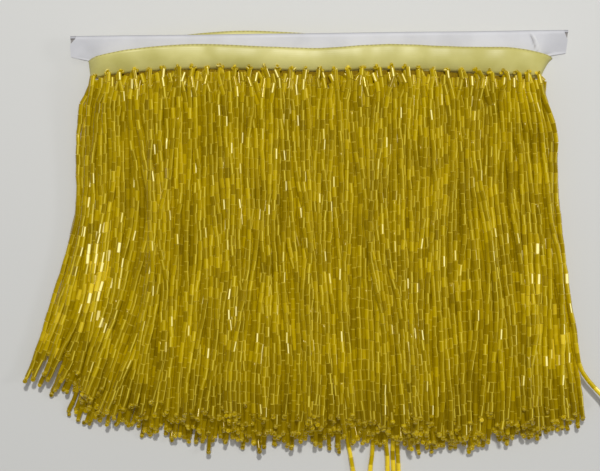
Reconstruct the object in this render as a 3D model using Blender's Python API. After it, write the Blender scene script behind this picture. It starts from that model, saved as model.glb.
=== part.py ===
"""Roll of beaded fringe, lying on its back on a flat surface.

A satin heading is wound in a flat loop round a notched, folded card. Strands of glass bugle
beads hang from its lower edge and lie over each other in a low pile below the card.

The loop's outer turns are its outer step, and its inner turns, which have slipped down the
card, are its inner step. Each step carries one comb of strands on the front and one on the back.

Design frame: x = 0 at the card's middle, y = 0 at its top edge, z = 0 at the surface below.
At the end everything is moved so that the origin is at the bottom centre of the whole roll.
"""

import math
import random

import bmesh
import bpy
from mathutils import Vector

MM = 0.001
CLEARANCE = 0.3 * MM

# Card: a strip of board folded along its top edge, with a shoulder at each end
CARD_HALF_LENGTH = 109.4 * MM
CARD_BODY_HALF_LENGTH = 95.8 * MM
CARD_HEIGHT = 20 * MM
CARD_LEAF = 1.0 * MM
CARD_THICKNESS = 3.2 * MM
CARD_FOLD = 1.2 * MM
CARD_MIDDLE_Z = 8.8 * MM
TAB_TOP_CORNER_CUT = (2.2 * MM, 3.0 * MM)
LEFT_TAB_HEIGHT = 9.2 * MM
RIGHT_TAB_HEIGHT = 10.2 * MM
RIGHT_TAB_LEAN = 1.4 * MM
SHOULDER_HEIGHT = 12.4 * MM

# Heading loop: half length, half thickness at the end turns and extra bulge in the middle
LOOP_SURFACES = {
    "inside": {"half_length": 97.4 * MM, "half_thickness": 1.95 * MM, "bulge": 0.0},
    "step": {"half_length": 99.6 * MM, "half_thickness": 3.3 * MM, "bulge": 0.7 * MM},
    "outside": {"half_length": 102.2 * MM, "half_thickness": 4.6 * MM, "bulge": 1.6 * MM},
}
LOOP_STATIONS = 26
END_TURN_STATIONS = 6
CROWN = 0.4 * MM
TOP_EDGE_LAID_IN = 0.6 * MM
INSIDE_TURNS_DROP = 1.4 * MM
FRONT_INNER_LOWER = -25.5 * MM
BACK_INNER_LOWER = -30.5 * MM
INNER_ENDS_RISE = {"from": 90.5 * MM, "to": 96.5 * MM, "below_outer": 0.8 * MM}

# The outer turn's upper and lower edges along the card, as the wound ribbon bows
FRONT_EDGES = (
    {"x": -102.2, "upper": -11.8, "lower": -18.2},
    {"x": -84.0, "upper": -6.3, "lower": -16.2},
    {"x": -60.0, "upper": -4.2, "lower": -15.0},
    {"x": -20.0, "upper": -5.6, "lower": -15.8},
    {"x": -2.0, "upper": -6.3, "lower": -16.6},
    {"x": 28.0, "upper": -5.0, "lower": -16.0},
    {"x": 60.0, "upper": -6.4, "lower": -17.6},
    {"x": 90.0, "upper": -8.8, "lower": -19.4},
    {"x": 102.2, "upper": -12.2, "lower": -19.9},
)
BACK_EDGES = (
    {"x": -102.2, "upper": -11.8, "lower": -18.2},
    {"x": -70.0, "upper": -2.4, "lower": -13.4},
    {"x": -36.0, "upper": 2.2, "lower": -8.8},
    {"x": 0.0, "upper": -1.0, "lower": -12.0},
    {"x": 50.0, "upper": -4.6, "lower": -15.6},
    {"x": 102.2, "upper": -12.2, "lower": -19.9},
)

# Root strips, which hold the strands at the heading's lower edge. The strips' half length is
# also the measure of a strand's share: a share of 1 is the strip's end.
STRIP_WIDTH = 2.4 * MM
STRIP_HALF_LENGTH = 101.0 * MM
STRIP_STATIONS = 22
STRIP_END_TURN_STATIONS = 2
STRIP_THICKEST = 2.3 * MM
ROOT_DEPTH = 1.0 * MM
ROOT_SHARE = 0.86

# Layers of strands, stacked in this order from the surface up. count is how many strands a
# layer has, reach is the share that they cover, and height is how tall they are at the crest.
# The seed draws a layer's chance differences and shifts its waves.
LAYERS = {
    "fringe_back_outer": {"count": 64, "reach": 0.915, "height": 4.3 * MM, "length": 151 * MM, "seed": 3},
    "fringe_back_inner": {"count": 60, "reach": 0.84, "height": 4.4 * MM, "length": 152 * MM, "seed": 5},
    "fringe_front_inner": {"count": 60, "reach": 0.88, "height": 4.5 * MM, "length": 151 * MM, "seed": 7},
    "fringe_front_outer": {"count": 84, "reach": 1.0, "height": 4.6 * MM, "length": 151 * MM, "seed": 11},
}
LAYER_GAP = 0.5 * MM

# A strand's own size
STRAND_WIDTH = 2.2 * MM
ROOT_WIDTH = 1.5 * MM
WIDTH_OF_PITCH = 0.84
END_WIDTH = 0.75
LENGTH_SCATTER = 2.6 * MM

# Where the strands of each layer bend, as millimetres below the card's top edge
BENDS = {
    "fringe_back_outer": (21.5, 32, 78, 112),
    "fringe_back_inner": (46, 78, 112, 146),
    "fringe_front_inner": (32, 46, 78, 112, 146),
    "fringe_front_outer": (21.5, 26.5, 46, 78, 112, 146),
}
FIRST_BEND_AFTER = 1.5 * MM
LAST_BEND_BEFORE = 6 * MM

# The pile gets lower along the strands, counted down from its top, and towards both sides.
# A strand settles from its root onto what lies below it within the root blend.
PILE_TOP_Y = -18 * MM
PILE_TAPER = {"start": 50 * MM, "run": 115 * MM, "loss": 0.38}
PILE_CROWN = {"loss": 0.35, "power": 2.5}
ROOT_BLEND = 11 * MM

# Past its reach by the margin a layer no longer carries those above, which sink over the fade.
# Strands also sink past the ends of the lowest layer.
SUPPORT_MARGIN = 0.03
SUPPORT_FADE = 0.045
OVERHANG = {"run": 26 * MM, "drop": 0.75}

# How the strands spread sideways below the card, each side (-1 left, 1 right) in its own way
SIDE_BULGE = {"size": 4.5 * MM, "run": 8 * MM, "power": 6}
SIDE_FLARE = {
    -1: {"size": 30 * MM, "start": 42 * MM, "run": 100 * MM, "power": 1.35},
    1: {"size": 9 * MM, "start": 50 * MM, "run": 100 * MM, "power": 1.2},
}
FLARE_POWER = 3
SIDE_SHORTER = {
    -1: {"from": 0.66, "by": 13 * MM},
    1: {"from": 0.8, "by": 6 * MM},
}
WAVE = {"size": 0.7 * MM, "count": 6.5, "run": 150 * MM}

# The last strand on the right strays outwards near its end
STRAY = {"start": 122 * MM, "run": 22 * MM, "by": 7 * MM}

# Strands of a few slipped stitches, which hang below the rest: where they start, how much longer
LONG_STRANDS = (
    {"x": 10.0, "extra": 10.0},
    {"x": 21.5, "extra": 12.0},
    {"x": 27.5, "extra": 13.0},
    {"x": 30.2, "extra": 14.5},
    {"x": 33.0, "extra": 12.5},
)

MATERIALS = {
    "white_board": {"colour": (0.72, 0.72, 0.75), "roughness": 0.55},
    "satin_ribbon": {"colour": (0.68, 0.63, 0.25), "roughness": 0.4},
    "yellow_glass": {"colour": (0.50, 0.37, 0.01), "roughness": 0.15},
}


def smooth(share):
    """A smooth step from 0 to 1."""
    share = min(1.0, max(0.0, share))
    return share * share * (3 - 2 * share)


def read_table(rows, column, x):
    """A column of a table in millimetres at x, along a smooth curve through the rows."""
    xs = [row["x"] * MM for row in rows]
    values = [row[column] * MM for row in rows]
    x = min(xs[-1], max(xs[0], x))
    i = max(k for k in range(len(xs) - 1) if xs[k] <= x)
    before, after = max(i - 1, 0), min(i + 2, len(xs) - 1)
    slope_start = (values[i + 1] - values[before]) / (xs[i + 1] - xs[before])
    slope_end = (values[after] - values[i]) / (xs[after] - xs[i])
    run = xs[i + 1] - xs[i]
    t = (x - xs[i]) / run
    return (
        values[i] * (1 + 2 * t) * (1 - t) ** 2
        + slope_start * run * t * (1 - t) ** 2
        + values[i + 1] * t * t * (3 - 2 * t)
        - slope_end * run * t * t * (1 - t)
    )


def clear_scene():
    for obj in list(bpy.data.objects):
        bpy.data.objects.remove(obj)


def new_collection(name):
    collection = bpy.data.collections.new(name)
    bpy.context.scene.collection.children.link(collection)
    return collection


def new_material(name):
    look = MATERIALS[name]
    material = bpy.data.materials.new(name)
    material.use_nodes = True
    shader = material.node_tree.nodes["Principled BSDF"]
    shader.inputs["Base Color"].default_value = (*look["colour"], 1)
    shader.inputs["Roughness"].default_value = look["roughness"]
    shader.inputs["Metallic"].default_value = 0
    return material


def new_object(name, mesh, collection, material=None):
    obj = bpy.data.objects.new(name, mesh)
    collection.objects.link(obj)
    if material:
        mesh.materials.append(material)
    return obj


def loft(bm, rings, closed=False):
    """Faces between rings of equal length, with flat caps unless the rings close on themselves."""
    made = [[bm.verts.new(point) for point in ring] for ring in rings]
    pairs = list(zip(made, made[1:]))
    if closed:
        pairs.append((made[-1], made[0]))
    for first, second in pairs:
        for k in range(len(first)):
            n = (k + 1) % len(first)
            bm.faces.new((first[k], first[n], second[n], second[k]))
    if not closed:
        bm.faces.new(list(reversed(made[0])))
        bm.faces.new(made[-1])


def mesh_of(name, bm):
    bmesh.ops.recalc_face_normals(bm, faces=bm.faces)
    mesh = bpy.data.meshes.new(name)
    bm.to_mesh(mesh)
    bm.free()
    return mesh


def box_mesh(name, low, high):
    """A box between two corners, from a cube."""
    bm = bmesh.new()
    bmesh.ops.create_cube(bm, size=1)
    low, high = Vector(low), Vector(high)
    bmesh.ops.scale(bm, vec=high - low, verts=bm.verts)
    bmesh.ops.translate(bm, vec=(high + low) / 2, verts=bm.verts)
    return mesh_of(name, bm)


def add_boolean(obj, other, operation):
    cut = obj.modifiers.new(other.name, "BOOLEAN")
    cut.object = other
    cut.operation = operation
    other.hide_render = True
    other.display_type = "WIRE"


# Card

def card_outline():
    """The card's outline, seen from above, as a flat curve extruded to its full thickness."""
    points = (
        (-CARD_HALF_LENGTH, 0),
        (CARD_HALF_LENGTH, 0),
        (CARD_HALF_LENGTH - RIGHT_TAB_LEAN, -RIGHT_TAB_HEIGHT),
        (CARD_BODY_HALF_LENGTH, -SHOULDER_HEIGHT),
        (CARD_BODY_HALF_LENGTH, -CARD_HEIGHT),
        (-CARD_BODY_HALF_LENGTH, -CARD_HEIGHT),
        (-CARD_BODY_HALF_LENGTH, -SHOULDER_HEIGHT),
        (-CARD_HALF_LENGTH, -LEFT_TAB_HEIGHT),
    )
    curve = bpy.data.curves.new("card_outline", "CURVE")
    curve.dimensions = "2D"
    curve.fill_mode = "BOTH"
    curve.extrude = CARD_THICKNESS / 2
    spline = curve.splines.new("POLY")
    spline.points.add(len(points) - 1)
    for point, (x, y) in zip(spline.points, points):
        point.co = (x, y, 0, 1)
    spline.use_cyclic_u = True
    return curve


def make_card(collection, cutters, material):
    """Two leaves joined by the fold at the top edge, open below and at both ends."""
    outline = bpy.data.objects.new("card_outline", card_outline())
    collection.objects.link(outline)
    outline.location.z = CARD_MIDDLE_Z
    bpy.context.view_layer.update()
    graph = bpy.context.evaluated_depsgraph_get()
    mesh = bpy.data.meshes.new_from_object(outline.evaluated_get(graph))
    bm = bmesh.new()
    bm.from_mesh(mesh)
    bmesh.ops.remove_doubles(bm, verts=bm.verts, dist=0.001 * MM)
    bm.to_mesh(mesh)
    bm.free()
    card = new_object("card", mesh, collection, material)
    card.matrix_world = outline.matrix_world
    bpy.data.objects.remove(outline)

    past = 5 * MM
    slot_half = CARD_THICKNESS / 2 - CARD_LEAF
    slot = new_object(
        "card_slot",
        box_mesh(
            "card_slot",
            (-CARD_HALF_LENGTH - past, -CARD_HEIGHT - past, CARD_MIDDLE_Z - slot_half),
            (CARD_HALF_LENGTH + past, -CARD_FOLD, CARD_MIDDLE_Z + slot_half),
        ),
        cutters,
    )
    add_boolean(card, slot, "DIFFERENCE")
    for side in (-1, 1):
        add_boolean(card, make_corner_cutter(side, cutters), "DIFFERENCE")
    return card


def make_corner_cutter(side, cutters):
    """A wedge that clips the front leaf's top corner, so that the fold's dark inside shows."""
    across, down = TAB_TOP_CORNER_CUT
    lean = RIGHT_TAB_LEAN * down / RIGHT_TAB_HEIGHT if side > 0 else 0
    past = 4 * MM
    low = CARD_MIDDLE_Z
    high = CARD_MIDDLE_Z + CARD_THICKNESS
    corner = side * CARD_HALF_LENGTH
    inner = (corner - side * across, 0)
    outer = (corner - side * lean, -down)
    away = (corner + side * past, past)
    stretch = Vector((outer[0] - inner[0], outer[1] - inner[1])).normalized() * past
    flat = (
        (inner[0] - stretch.x, inner[1] - stretch.y),
        (outer[0] + stretch.x, outer[1] + stretch.y),
        away,
    )
    bm = bmesh.new()
    loft(bm, [[(x, y, z) for x, y in flat] for z in (low, high)])
    name = "card_corner_left" if side < 0 else "card_corner_right"
    return new_object(name, mesh_of(name, bm), cutters)


# Heading

def surface_height(surface, x):
    """Distance of a loop surface from the card's middle plane at x, or 0 past its end."""
    size = LOOP_SURFACES[surface]
    straight = size["half_length"] - size["half_thickness"]
    if abs(x) <= straight:
        return size["half_thickness"] + size["bulge"] * (1 - (x / straight) ** 2)
    past = abs(x) - straight
    if past >= size["half_thickness"]:
        return 0.0
    return math.sqrt(size["half_thickness"] ** 2 - past**2)


def loop_stations():
    """Round the loop: each station's angle of the end turn, or its share of a straight run."""
    for k in range(LOOP_STATIONS):
        yield "front", -1 + 2 * k / LOOP_STATIONS
    for k in range(END_TURN_STATIONS):
        yield "right", k / END_TURN_STATIONS
    for k in range(LOOP_STATIONS):
        yield "back", 1 - 2 * k / LOOP_STATIONS
    for k in range(END_TURN_STATIONS):
        yield "left", k / END_TURN_STATIONS


def surface_point(surface, part, share, lift=0.0):
    """(x, height above the card's middle plane) of a loop surface at a station."""
    size = LOOP_SURFACES[surface]
    straight = size["half_length"] - size["half_thickness"]
    if part in ("front", "back"):
        side = 1 if part == "front" else -1
        x = straight * share
        return x, side * (surface_height(surface, x) + lift)
    angle = math.pi * share
    radius = size["half_thickness"] + lift
    if part == "right":
        return straight + radius * math.sin(angle), radius * math.cos(angle)
    return -straight - radius * math.sin(angle), -radius * math.cos(angle)


def edge_lines(part, share, x):
    """(upper edge, lower edge, inner turns' lower edge) in y at a station."""
    if part == "front":
        back = 0.0
    elif part == "back":
        back = 1.0
    else:
        back = smooth(share) if part == "right" else 1 - smooth(share)
    front_row = [read_table(FRONT_EDGES, column, x) for column in ("upper", "lower")]
    back_row = [read_table(BACK_EDGES, column, x) for column in ("upper", "lower")]
    upper, lower = [f + (b - f) * back for f, b in zip(front_row, back_row)]
    inner = FRONT_INNER_LOWER + (BACK_INNER_LOWER - FRONT_INNER_LOWER) * back
    rise = INNER_ENDS_RISE
    risen = smooth((abs(x) - rise["from"]) / (rise["to"] - rise["from"]))
    inner += (lower - rise["below_outer"] - inner) * risen
    return upper, lower, inner


def make_heading(collection, material):
    """The wound ribbon: one loop whose section has an outer step and a lower inner step."""
    rings = []
    for part, share in loop_stations():
        x, _ = surface_point("outside", part, share)
        upper, lower, inner = edge_lines(part, share, x)
        middle = (upper + lower) / 2
        section = (
            ("inside", 0.0, upper - INSIDE_TURNS_DROP),
            ("outside", -TOP_EDGE_LAID_IN, upper),
            ("outside", CROWN, middle),
            ("outside", 0.0, lower),
            ("step", 0.0, lower),
            ("step", 0.0, inner),
            ("inside", 0.0, inner),
        )
        ring = []
        for surface, lift, y in section:
            px, height = surface_point(surface, part, share, lift)
            ring.append((px, y, CARD_MIDDLE_Z + height))
        rings.append(ring)
    bm = bmesh.new()
    loft(bm, rings, closed=True)
    mesh = mesh_of("heading", bm)
    mesh.shade_smooth()
    mesh.set_sharp_from_angle(angle=math.radians(40))
    return new_object("heading", mesh, collection, material)


# Root strips

def strip_heights(name, x):
    """(lower, upper) height of a layer's root strip at x."""
    if name.endswith("outer"):
        far = surface_height("outside", x)
        near = max(surface_height("step", x) + CLEARANCE, far - STRIP_THICKEST)
    else:
        far = surface_height("step", x)
        near = surface_height("inside", x)
    if "front" in name:
        return CARD_MIDDLE_Z + near, CARD_MIDDLE_Z + far
    return CARD_MIDDLE_Z - far, CARD_MIDDLE_Z - near


def strip_top(name, x):
    """The strip's upper edge in y, just below the heading that it hangs from."""
    if name == "fringe_front_inner":
        return FRONT_INNER_LOWER - CLEARANCE
    if name == "fringe_back_inner":
        return BACK_INNER_LOWER - CLEARANCE
    rows = FRONT_EDGES if "front" in name else BACK_EDGES
    return read_table(rows, "lower", x) - CLEARANCE


def strip_bottom(name, x):
    return strip_top(name, x) - STRIP_WIDTH


def end_turn_ring(part, share):
    """A section of the front's outer strip where it follows the loop round its end."""
    x, _ = surface_point("outside", part, share)
    top = edge_lines(part, share, x)[1] - CLEARANCE
    near_x, near = surface_point("step", part, share, CLEARANCE)
    far_x, far = surface_point("outside", part, share)
    near, far = CARD_MIDDLE_Z + near, CARD_MIDDLE_Z + far
    bottom = top - STRIP_WIDTH
    return [(near_x, top, near), (far_x, top, far), (far_x, bottom, far), (near_x, bottom, near)]


def make_strip(name, collection, material):
    """A narrow strip along one side of the loop. The front's outer one turns in at both ends."""
    turns_in = name == "fringe_front_outer"
    step = LOOP_SURFACES["step"]
    half_length = LAYERS[name]["reach"] * STRIP_HALF_LENGTH
    if turns_in:
        half_length = step["half_length"] - step["half_thickness"]
    rings = []
    for k in range(STRIP_STATIONS + 1):
        x = half_length * (2 * k / STRIP_STATIONS - 1)
        low, high = strip_heights(name, x)
        top, bottom = strip_top(name, x), strip_bottom(name, x)
        rings.append([(x, top, low), (x, top, high), (x, bottom, high), (x, bottom, low)])
    if turns_in:
        for k in range(1, STRIP_END_TURN_STATIONS + 1):
            share = k / END_TURN_STATIONS
            rings.append(end_turn_ring("right", share))
            rings.insert(0, end_turn_ring("left", 1 - share))
    bm = bmesh.new()
    loft(bm, rings)
    return new_object(name, mesh_of(name, bm), collection, material)


# Strands

def crown_at(share):
    """The pile's height at a share of its half width, as a share of its height in the middle."""
    return 1 - PILE_CROWN["loss"] * abs(share) ** PILE_CROWN["power"]


def layer_height(name, share, down):
    """How tall a layer's strands are in the pile, down being the distance below the heading."""
    taper = 1 - PILE_TAPER["loss"] * smooth((down - PILE_TAPER["start"]) / PILE_TAPER["run"])
    return LAYERS[name]["height"] * taper * crown_at(share)


def back_outer_end(share):
    """How far down the back's outer strands reach."""
    name = "fringe_back_outer"
    top = strip_top(name, share * STRIP_HALF_LENGTH)
    return PILE_TOP_Y - top + strand_length(name, share)


def support(name, share, down):
    """1 where a layer carries those above it, falling to 0 past its sides and its ends."""
    edge = LAYERS[name]["reach"] + SUPPORT_MARGIN
    across = 1 - smooth((abs(share) - edge) / SUPPORT_FADE)
    if name == "fringe_back_outer":
        past = down - back_outer_end(share) - LENGTH_SCATTER
        across *= 1 - OVERHANG["drop"] * smooth(past / OVERHANG["run"])
    return across


def settled_share(name, share, y):
    """0 where a strand leaves its strip, and 1 where it lies in the pile."""
    x = share * STRIP_HALF_LENGTH
    start = strip_bottom(name, x)
    if name == "fringe_front_outer":
        start = min(start, edge_lines("front", 0, abs(x) - STRAND_WIDTH)[2])
    return smooth((start - y) / ROOT_BLEND)


def strand_heights(name, share, y):
    """(underside, ridge) of a layer's strands, from their roots into the pile."""
    low, high = strip_heights(name, share * STRIP_HALF_LENGTH)
    margin = (high - low) * (1 - ROOT_SHARE) / 2
    low, high = low + margin, high - margin
    settled = settled_share(name, share, y)
    floor = pile_floor(name, share, y)
    ridge = floor + layer_height(name, share, PILE_TOP_Y - y)
    return low + (floor - low) * settled, high + (ridge - high) * settled


def pile_floor(name, share, y):
    """Height of the underside of a layer in the pile, resting on the layers below it."""
    floor = 0.0
    for below in LAYERS:
        if below == name:
            return floor
        rest = strand_heights(below, share, y)[1] + LAYER_GAP
        floor += (rest - floor) * support(below, share, PILE_TOP_Y - y)
    raise KeyError(name)


def strand_length(name, share):
    """Length of a strand, shorter at the pile's two lower corners."""
    side = -1 if share < 0 else 1
    shorter = SIDE_SHORTER[side]
    cut = shorter["by"] * smooth((abs(share) - shorter["from"]) / (1 - shorter["from"]))
    return LAYERS[name]["length"] - cut


def strand_x(share, down, phase):
    """Where a strand lies across the roll, down being the distance below the heading."""
    side = -1 if share < 0 else 1
    flare = SIDE_FLARE[side]
    bulged = 1 - math.exp(-max(down, 0.0) / SIDE_BULGE["run"])
    flared = max(0.0, (down - flare["start"]) / flare["run"]) ** flare["power"]
    spread = SIDE_BULGE["size"] * abs(share) ** SIDE_BULGE["power"] * bulged
    spread += flare["size"] * abs(share) ** FLARE_POWER * flared
    waved = math.sin(2 * math.pi * WAVE["count"] * share + phase) * smooth(down / WAVE["run"])
    return STRIP_HALF_LENGTH * share + side * spread + WAVE["size"] * waved


def strand_section(name, share, y, side, at_end, stray):
    """A three-sided section of a strand: flat below, with its ridge on top.

    side is the strand's own place in the free space between its neighbours, from -1 to 1.
    """
    layer = LAYERS[name]
    root_x = STRIP_HALF_LENGTH * share
    down = PILE_TOP_Y - y
    phase = layer["seed"]
    settled = settled_share(name, share, y)
    step = layer["reach"] / layer["count"]
    pitch = strand_x(share + step, down, phase) - strand_x(share - step, down, phase)
    width = ROOT_WIDTH + (min(STRAND_WIDTH, WIDTH_OF_PITCH * pitch) - ROOT_WIDTH) * settled
    x = strand_x(share, down, phase) * settled + root_x * (1 - settled)
    x += side * max(0.0, pitch - width - CLEARANCE) / 2 * smooth(down / layer["length"])
    if stray:
        x += STRAY["by"] * smooth((down - STRAY["start"]) / STRAY["run"])
    low, high = strand_heights(name, share, y)
    if at_end:
        width *= END_WIDTH
        high = low + (high - low) * END_WIDTH
    return [(x - width / 2, y, low), (x + width / 2, y, low), (x, y, high)]


def long_strand_extra(name, root_x, pitch):
    """Extra length of a strand that belongs to the slipped stitch, or 0."""
    if name != "fringe_back_inner":
        return 0.0
    for row in LONG_STRANDS:
        if abs(row["x"] * MM - root_x) <= pitch / 2:
            return row["extra"] * MM
    return 0.0


def make_strands(name, cutters):
    """All the strands of one layer in one mesh, each a closed body."""
    layer = LAYERS[name]
    chance = random.Random(layer["seed"])
    half_length = layer["reach"] * STRIP_HALF_LENGTH
    bm = bmesh.new()
    for k in range(layer["count"]):
        share = layer["reach"] * ((2 * k + 1) / layer["count"] - 1)
        root_x = share * STRIP_HALF_LENGTH
        length = strand_length(name, share) + chance.uniform(-1, 1) * LENGTH_SCATTER
        length += long_strand_extra(name, root_x, 2 * half_length / layer["count"])
        side = chance.uniform(-1, 1)
        stray = name == "fringe_front_outer" and k == layer["count"] - 1
        root = strip_bottom(name, root_x)
        end = root - length
        bends = [-bend * MM for bend in BENDS[name]]
        ys = [y for y in bends if root - FIRST_BEND_AFTER > y > end + LAST_BEND_BEFORE]
        ys = [root + ROOT_DEPTH, *ys, end]
        loft(bm, [strand_section(name, share, y, side, y == end, stray) for y in ys])
    return new_object(name + "_strands", mesh_of(name + "_strands", bm), cutters)


def make_fringe(name, collection, cutters, material):
    """A comb: one layer's strands, fused at their roots into its strip."""
    comb = make_strip(name, collection, material)
    add_boolean(comb, make_strands(name, cutters), "UNION")
    return comb


def centre_on_base(collection):
    """Moves the parts and cutters so that the roll's bottom centre is the origin."""
    bpy.context.view_layer.update()
    graph = bpy.context.evaluated_depsgraph_get()
    corners = []
    for obj in collection.objects:
        shown = obj.evaluated_get(graph)
        corners += [shown.matrix_world @ Vector(corner) for corner in shown.bound_box]
    low = Vector([min(c[axis] for c in corners) for axis in range(3)])
    high = Vector([max(c[axis] for c in corners) for axis in range(3)])
    base = Vector(((low.x + high.x) / 2, (low.y + high.y) / 2, low.z))
    for obj in bpy.data.objects:
        obj.location -= base
    return base


def main():
    clear_scene()
    parts = new_collection("beaded_fringe_roll")
    cutters = new_collection("cutters")
    make_card(parts, cutters, new_material("white_board"))
    make_heading(parts, new_material("satin_ribbon"))
    glass = new_material("yellow_glass")
    for name in LAYERS:
        make_fringe(name, parts, cutters, glass)
    centre_on_base(parts)


main()
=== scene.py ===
"""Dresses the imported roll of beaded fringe: glass bugle beads, a satin heading and a folded card.

Lengths are in metres. Shapes are worked out in the roll's own plan, whose origin is the middle of
the card's top edge on the surface below: +X to the right, +Y past the card's top edge, +Z up.
"""

from __future__ import annotations

import logging
import math
from dataclasses import dataclass, field, fields
from enum import Enum

import bmesh
import bpy
import numpy as np
from mathutils import Matrix, Vector

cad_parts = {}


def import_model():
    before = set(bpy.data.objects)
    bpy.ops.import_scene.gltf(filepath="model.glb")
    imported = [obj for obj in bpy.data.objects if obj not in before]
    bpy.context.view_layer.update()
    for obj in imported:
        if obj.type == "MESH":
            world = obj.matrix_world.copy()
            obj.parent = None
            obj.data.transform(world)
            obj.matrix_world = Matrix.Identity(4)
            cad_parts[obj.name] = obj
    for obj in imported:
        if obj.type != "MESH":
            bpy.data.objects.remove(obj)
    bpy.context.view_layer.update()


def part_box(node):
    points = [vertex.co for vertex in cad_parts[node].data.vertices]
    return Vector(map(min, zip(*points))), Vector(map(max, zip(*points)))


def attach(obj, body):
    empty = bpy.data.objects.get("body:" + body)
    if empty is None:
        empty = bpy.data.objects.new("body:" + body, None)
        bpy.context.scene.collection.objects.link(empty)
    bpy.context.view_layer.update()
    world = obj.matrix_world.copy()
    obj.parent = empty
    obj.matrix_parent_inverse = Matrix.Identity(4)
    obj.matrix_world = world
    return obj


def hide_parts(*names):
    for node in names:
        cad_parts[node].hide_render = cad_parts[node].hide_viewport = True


log = logging.getLogger("beaded_fringe")

MM = 0.001
BODY = "root"

Table = tuple[dict[str, float], ...]


class Side(Enum):
    """The two faces of the card."""

    FRONT = 1
    BACK = -1


class Detail(Enum):
    """How finely a layer's beads are made."""

    FINE = "fine"
    PLAIN = "plain"


# Small helpers


def table(columns: str, *rows: tuple[float, ...]) -> Table:
    """Names the numbers in a table's rows.

    Args:
        columns: The columns' names, with a space between them.
        *rows: Each row's numbers, in that order.

    Returns:
        The rows as dicts.
    """
    return tuple(dict(zip(columns.split(), row)) for row in rows)


def smooth(share: float | np.ndarray) -> float | np.ndarray:
    """Returns a smooth step from 0 to 1, for a number or an array.

    Args:
        share: Where along the step, clipped to 0 and 1.

    Returns:
        The eased share.
    """
    share = np.clip(share, 0.0, 1.0)
    return share * share * (3 - 2 * share)


def linear_colour(hex_colour: str) -> tuple[float, float, float, float]:
    """Turns an sRGB hex colour to linear RGBA.

    Args:
        hex_colour: Six hex digits.

    Returns:
        Linear red, green and blue, and an alpha of 1.
    """
    channels = [int(hex_colour[i : i + 2], 16) / 255 for i in (0, 2, 4)]
    linear = [c / 12.92 if c <= 0.04045 else ((c + 0.055) / 1.055) ** 2.4 for c in channels]
    return linear[0], linear[1], linear[2], 1.0


def curve_through(rows: Table, column: str, x: np.ndarray) -> np.ndarray:
    """Reads a column of a table in millimetres along a smooth curve through its rows.

    Args:
        rows: The table, with its x column in rising order.
        column: The column to read.
        x: Where to read it, in metres.

    Returns:
        The column's values in metres.
    """
    xs = np.array([row["x"] for row in rows]) * MM
    values = np.array([row[column] for row in rows]) * MM
    slopes = np.gradient(values, xs)
    x = np.clip(x, xs[0], xs[-1])
    i = np.clip(np.searchsorted(xs, x, side="right") - 1, 0, len(xs) - 2)
    run = xs[i + 1] - xs[i]
    t = (x - xs[i]) / run
    start = values[i] * (1 + 2 * t) * (1 - t) ** 2 + slopes[i] * run * t * (1 - t) ** 2
    end = values[i + 1] * t * t * (3 - 2 * t) - slopes[i + 1] * run * t * t * (1 - t)
    return start + end


class Waves:
    """A smooth random field over two lengths: a sum of seeded sine waves, about -1 to 1."""

    def __init__(
        self, seed: int, count: int, across: tuple[float, float], along: tuple[float, float]
    ) -> None:
        """Draws the waves.

        Args:
            seed: Seed of the random draws.
            count: How many waves.
            across: Shortest and longest wavelength across, in metres.
            along: Shortest and longest wavelength along, in metres.
        """
        chance = np.random.default_rng(seed)
        self.across = 2 * np.pi / chance.uniform(*across, count)
        self.along = 2 * np.pi / chance.uniform(*along, count) * chance.choice((-1, 1), count)
        self.phase = chance.uniform(0, 2 * np.pi, count)
        self.scale = math.sqrt(2 / count)

    def at(self, across: np.ndarray, along: np.ndarray) -> np.ndarray:
        """Returns the field at places given by two lengths.

        Args:
            across: The places' first lengths.
            along: Their second lengths.

        Returns:
            The field's value at each place.
        """
        total = 0.0
        for k_across, k_along, phase in zip(self.across, self.along, self.phase):
            total = total + np.sin(k_across * across + k_along * along + phase)
        return total * self.scale


def made_mesh(bm: bmesh.types.BMesh, name: str) -> bpy.types.Mesh:
    """Turns a bmesh to a smooth mesh.

    Args:
        bm: The bmesh, which is freed.
        name: The mesh's name.

    Returns:
        The mesh.
    """
    mesh = bpy.data.meshes.new(name)
    bm.to_mesh(mesh)
    bm.free()
    mesh.shade_smooth()
    return mesh


def add_object(name: str, data: bpy.types.ID) -> bpy.types.Object:
    """Adds an object to the scene.

    Args:
        name: The object's name.
        data: Its mesh, light or camera.

    Returns:
        The object.
    """
    made = bpy.data.objects.new(name, data)
    bpy.context.scene.collection.objects.link(made)
    return made


def add_piece(
    mesh: bpy.types.Mesh, slot: str, node: str | None, *materials: bpy.types.Material
) -> bpy.types.Object:
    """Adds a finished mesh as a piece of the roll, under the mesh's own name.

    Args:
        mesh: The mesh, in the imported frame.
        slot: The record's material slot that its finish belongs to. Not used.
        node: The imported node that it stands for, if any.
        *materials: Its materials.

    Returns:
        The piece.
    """
    for material in materials:
        mesh.materials.append(material)
    piece = add_object(mesh.name, mesh)
    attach(piece, BODY)
    if node:
        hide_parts(node)
    return piece


# Materials


def fill(node: bpy.types.Node, inputs: dict[str | int, object]) -> None:
    """Sets or links a node's inputs.

    Args:
        node: The node.
        inputs: Input name or number to a value, or to the output socket that it is linked from.
    """
    for name, value in inputs.items():
        if isinstance(value, bpy.types.NodeSocket):
            node.id_data.links.new(value, node.inputs[name])
        else:
            node.inputs[name].default_value = value


def add_node(
    tree: bpy.types.NodeTree, kind: str, inputs: dict[str | int, object] | None = None, **settings: object
) -> bpy.types.Node:
    """Adds a node with its settings, socket values and links.

    Args:
        tree: The material's node tree.
        kind: The node's type, as in its type name after ShaderNode.
        inputs: What fill takes.
        **settings: Properties of the node itself.

    Returns:
        The new node.
    """
    node = tree.nodes.new("ShaderNode" + kind)
    for name, value in settings.items():
        setattr(node, name, value)
    fill(node, inputs or {})
    return node


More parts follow.
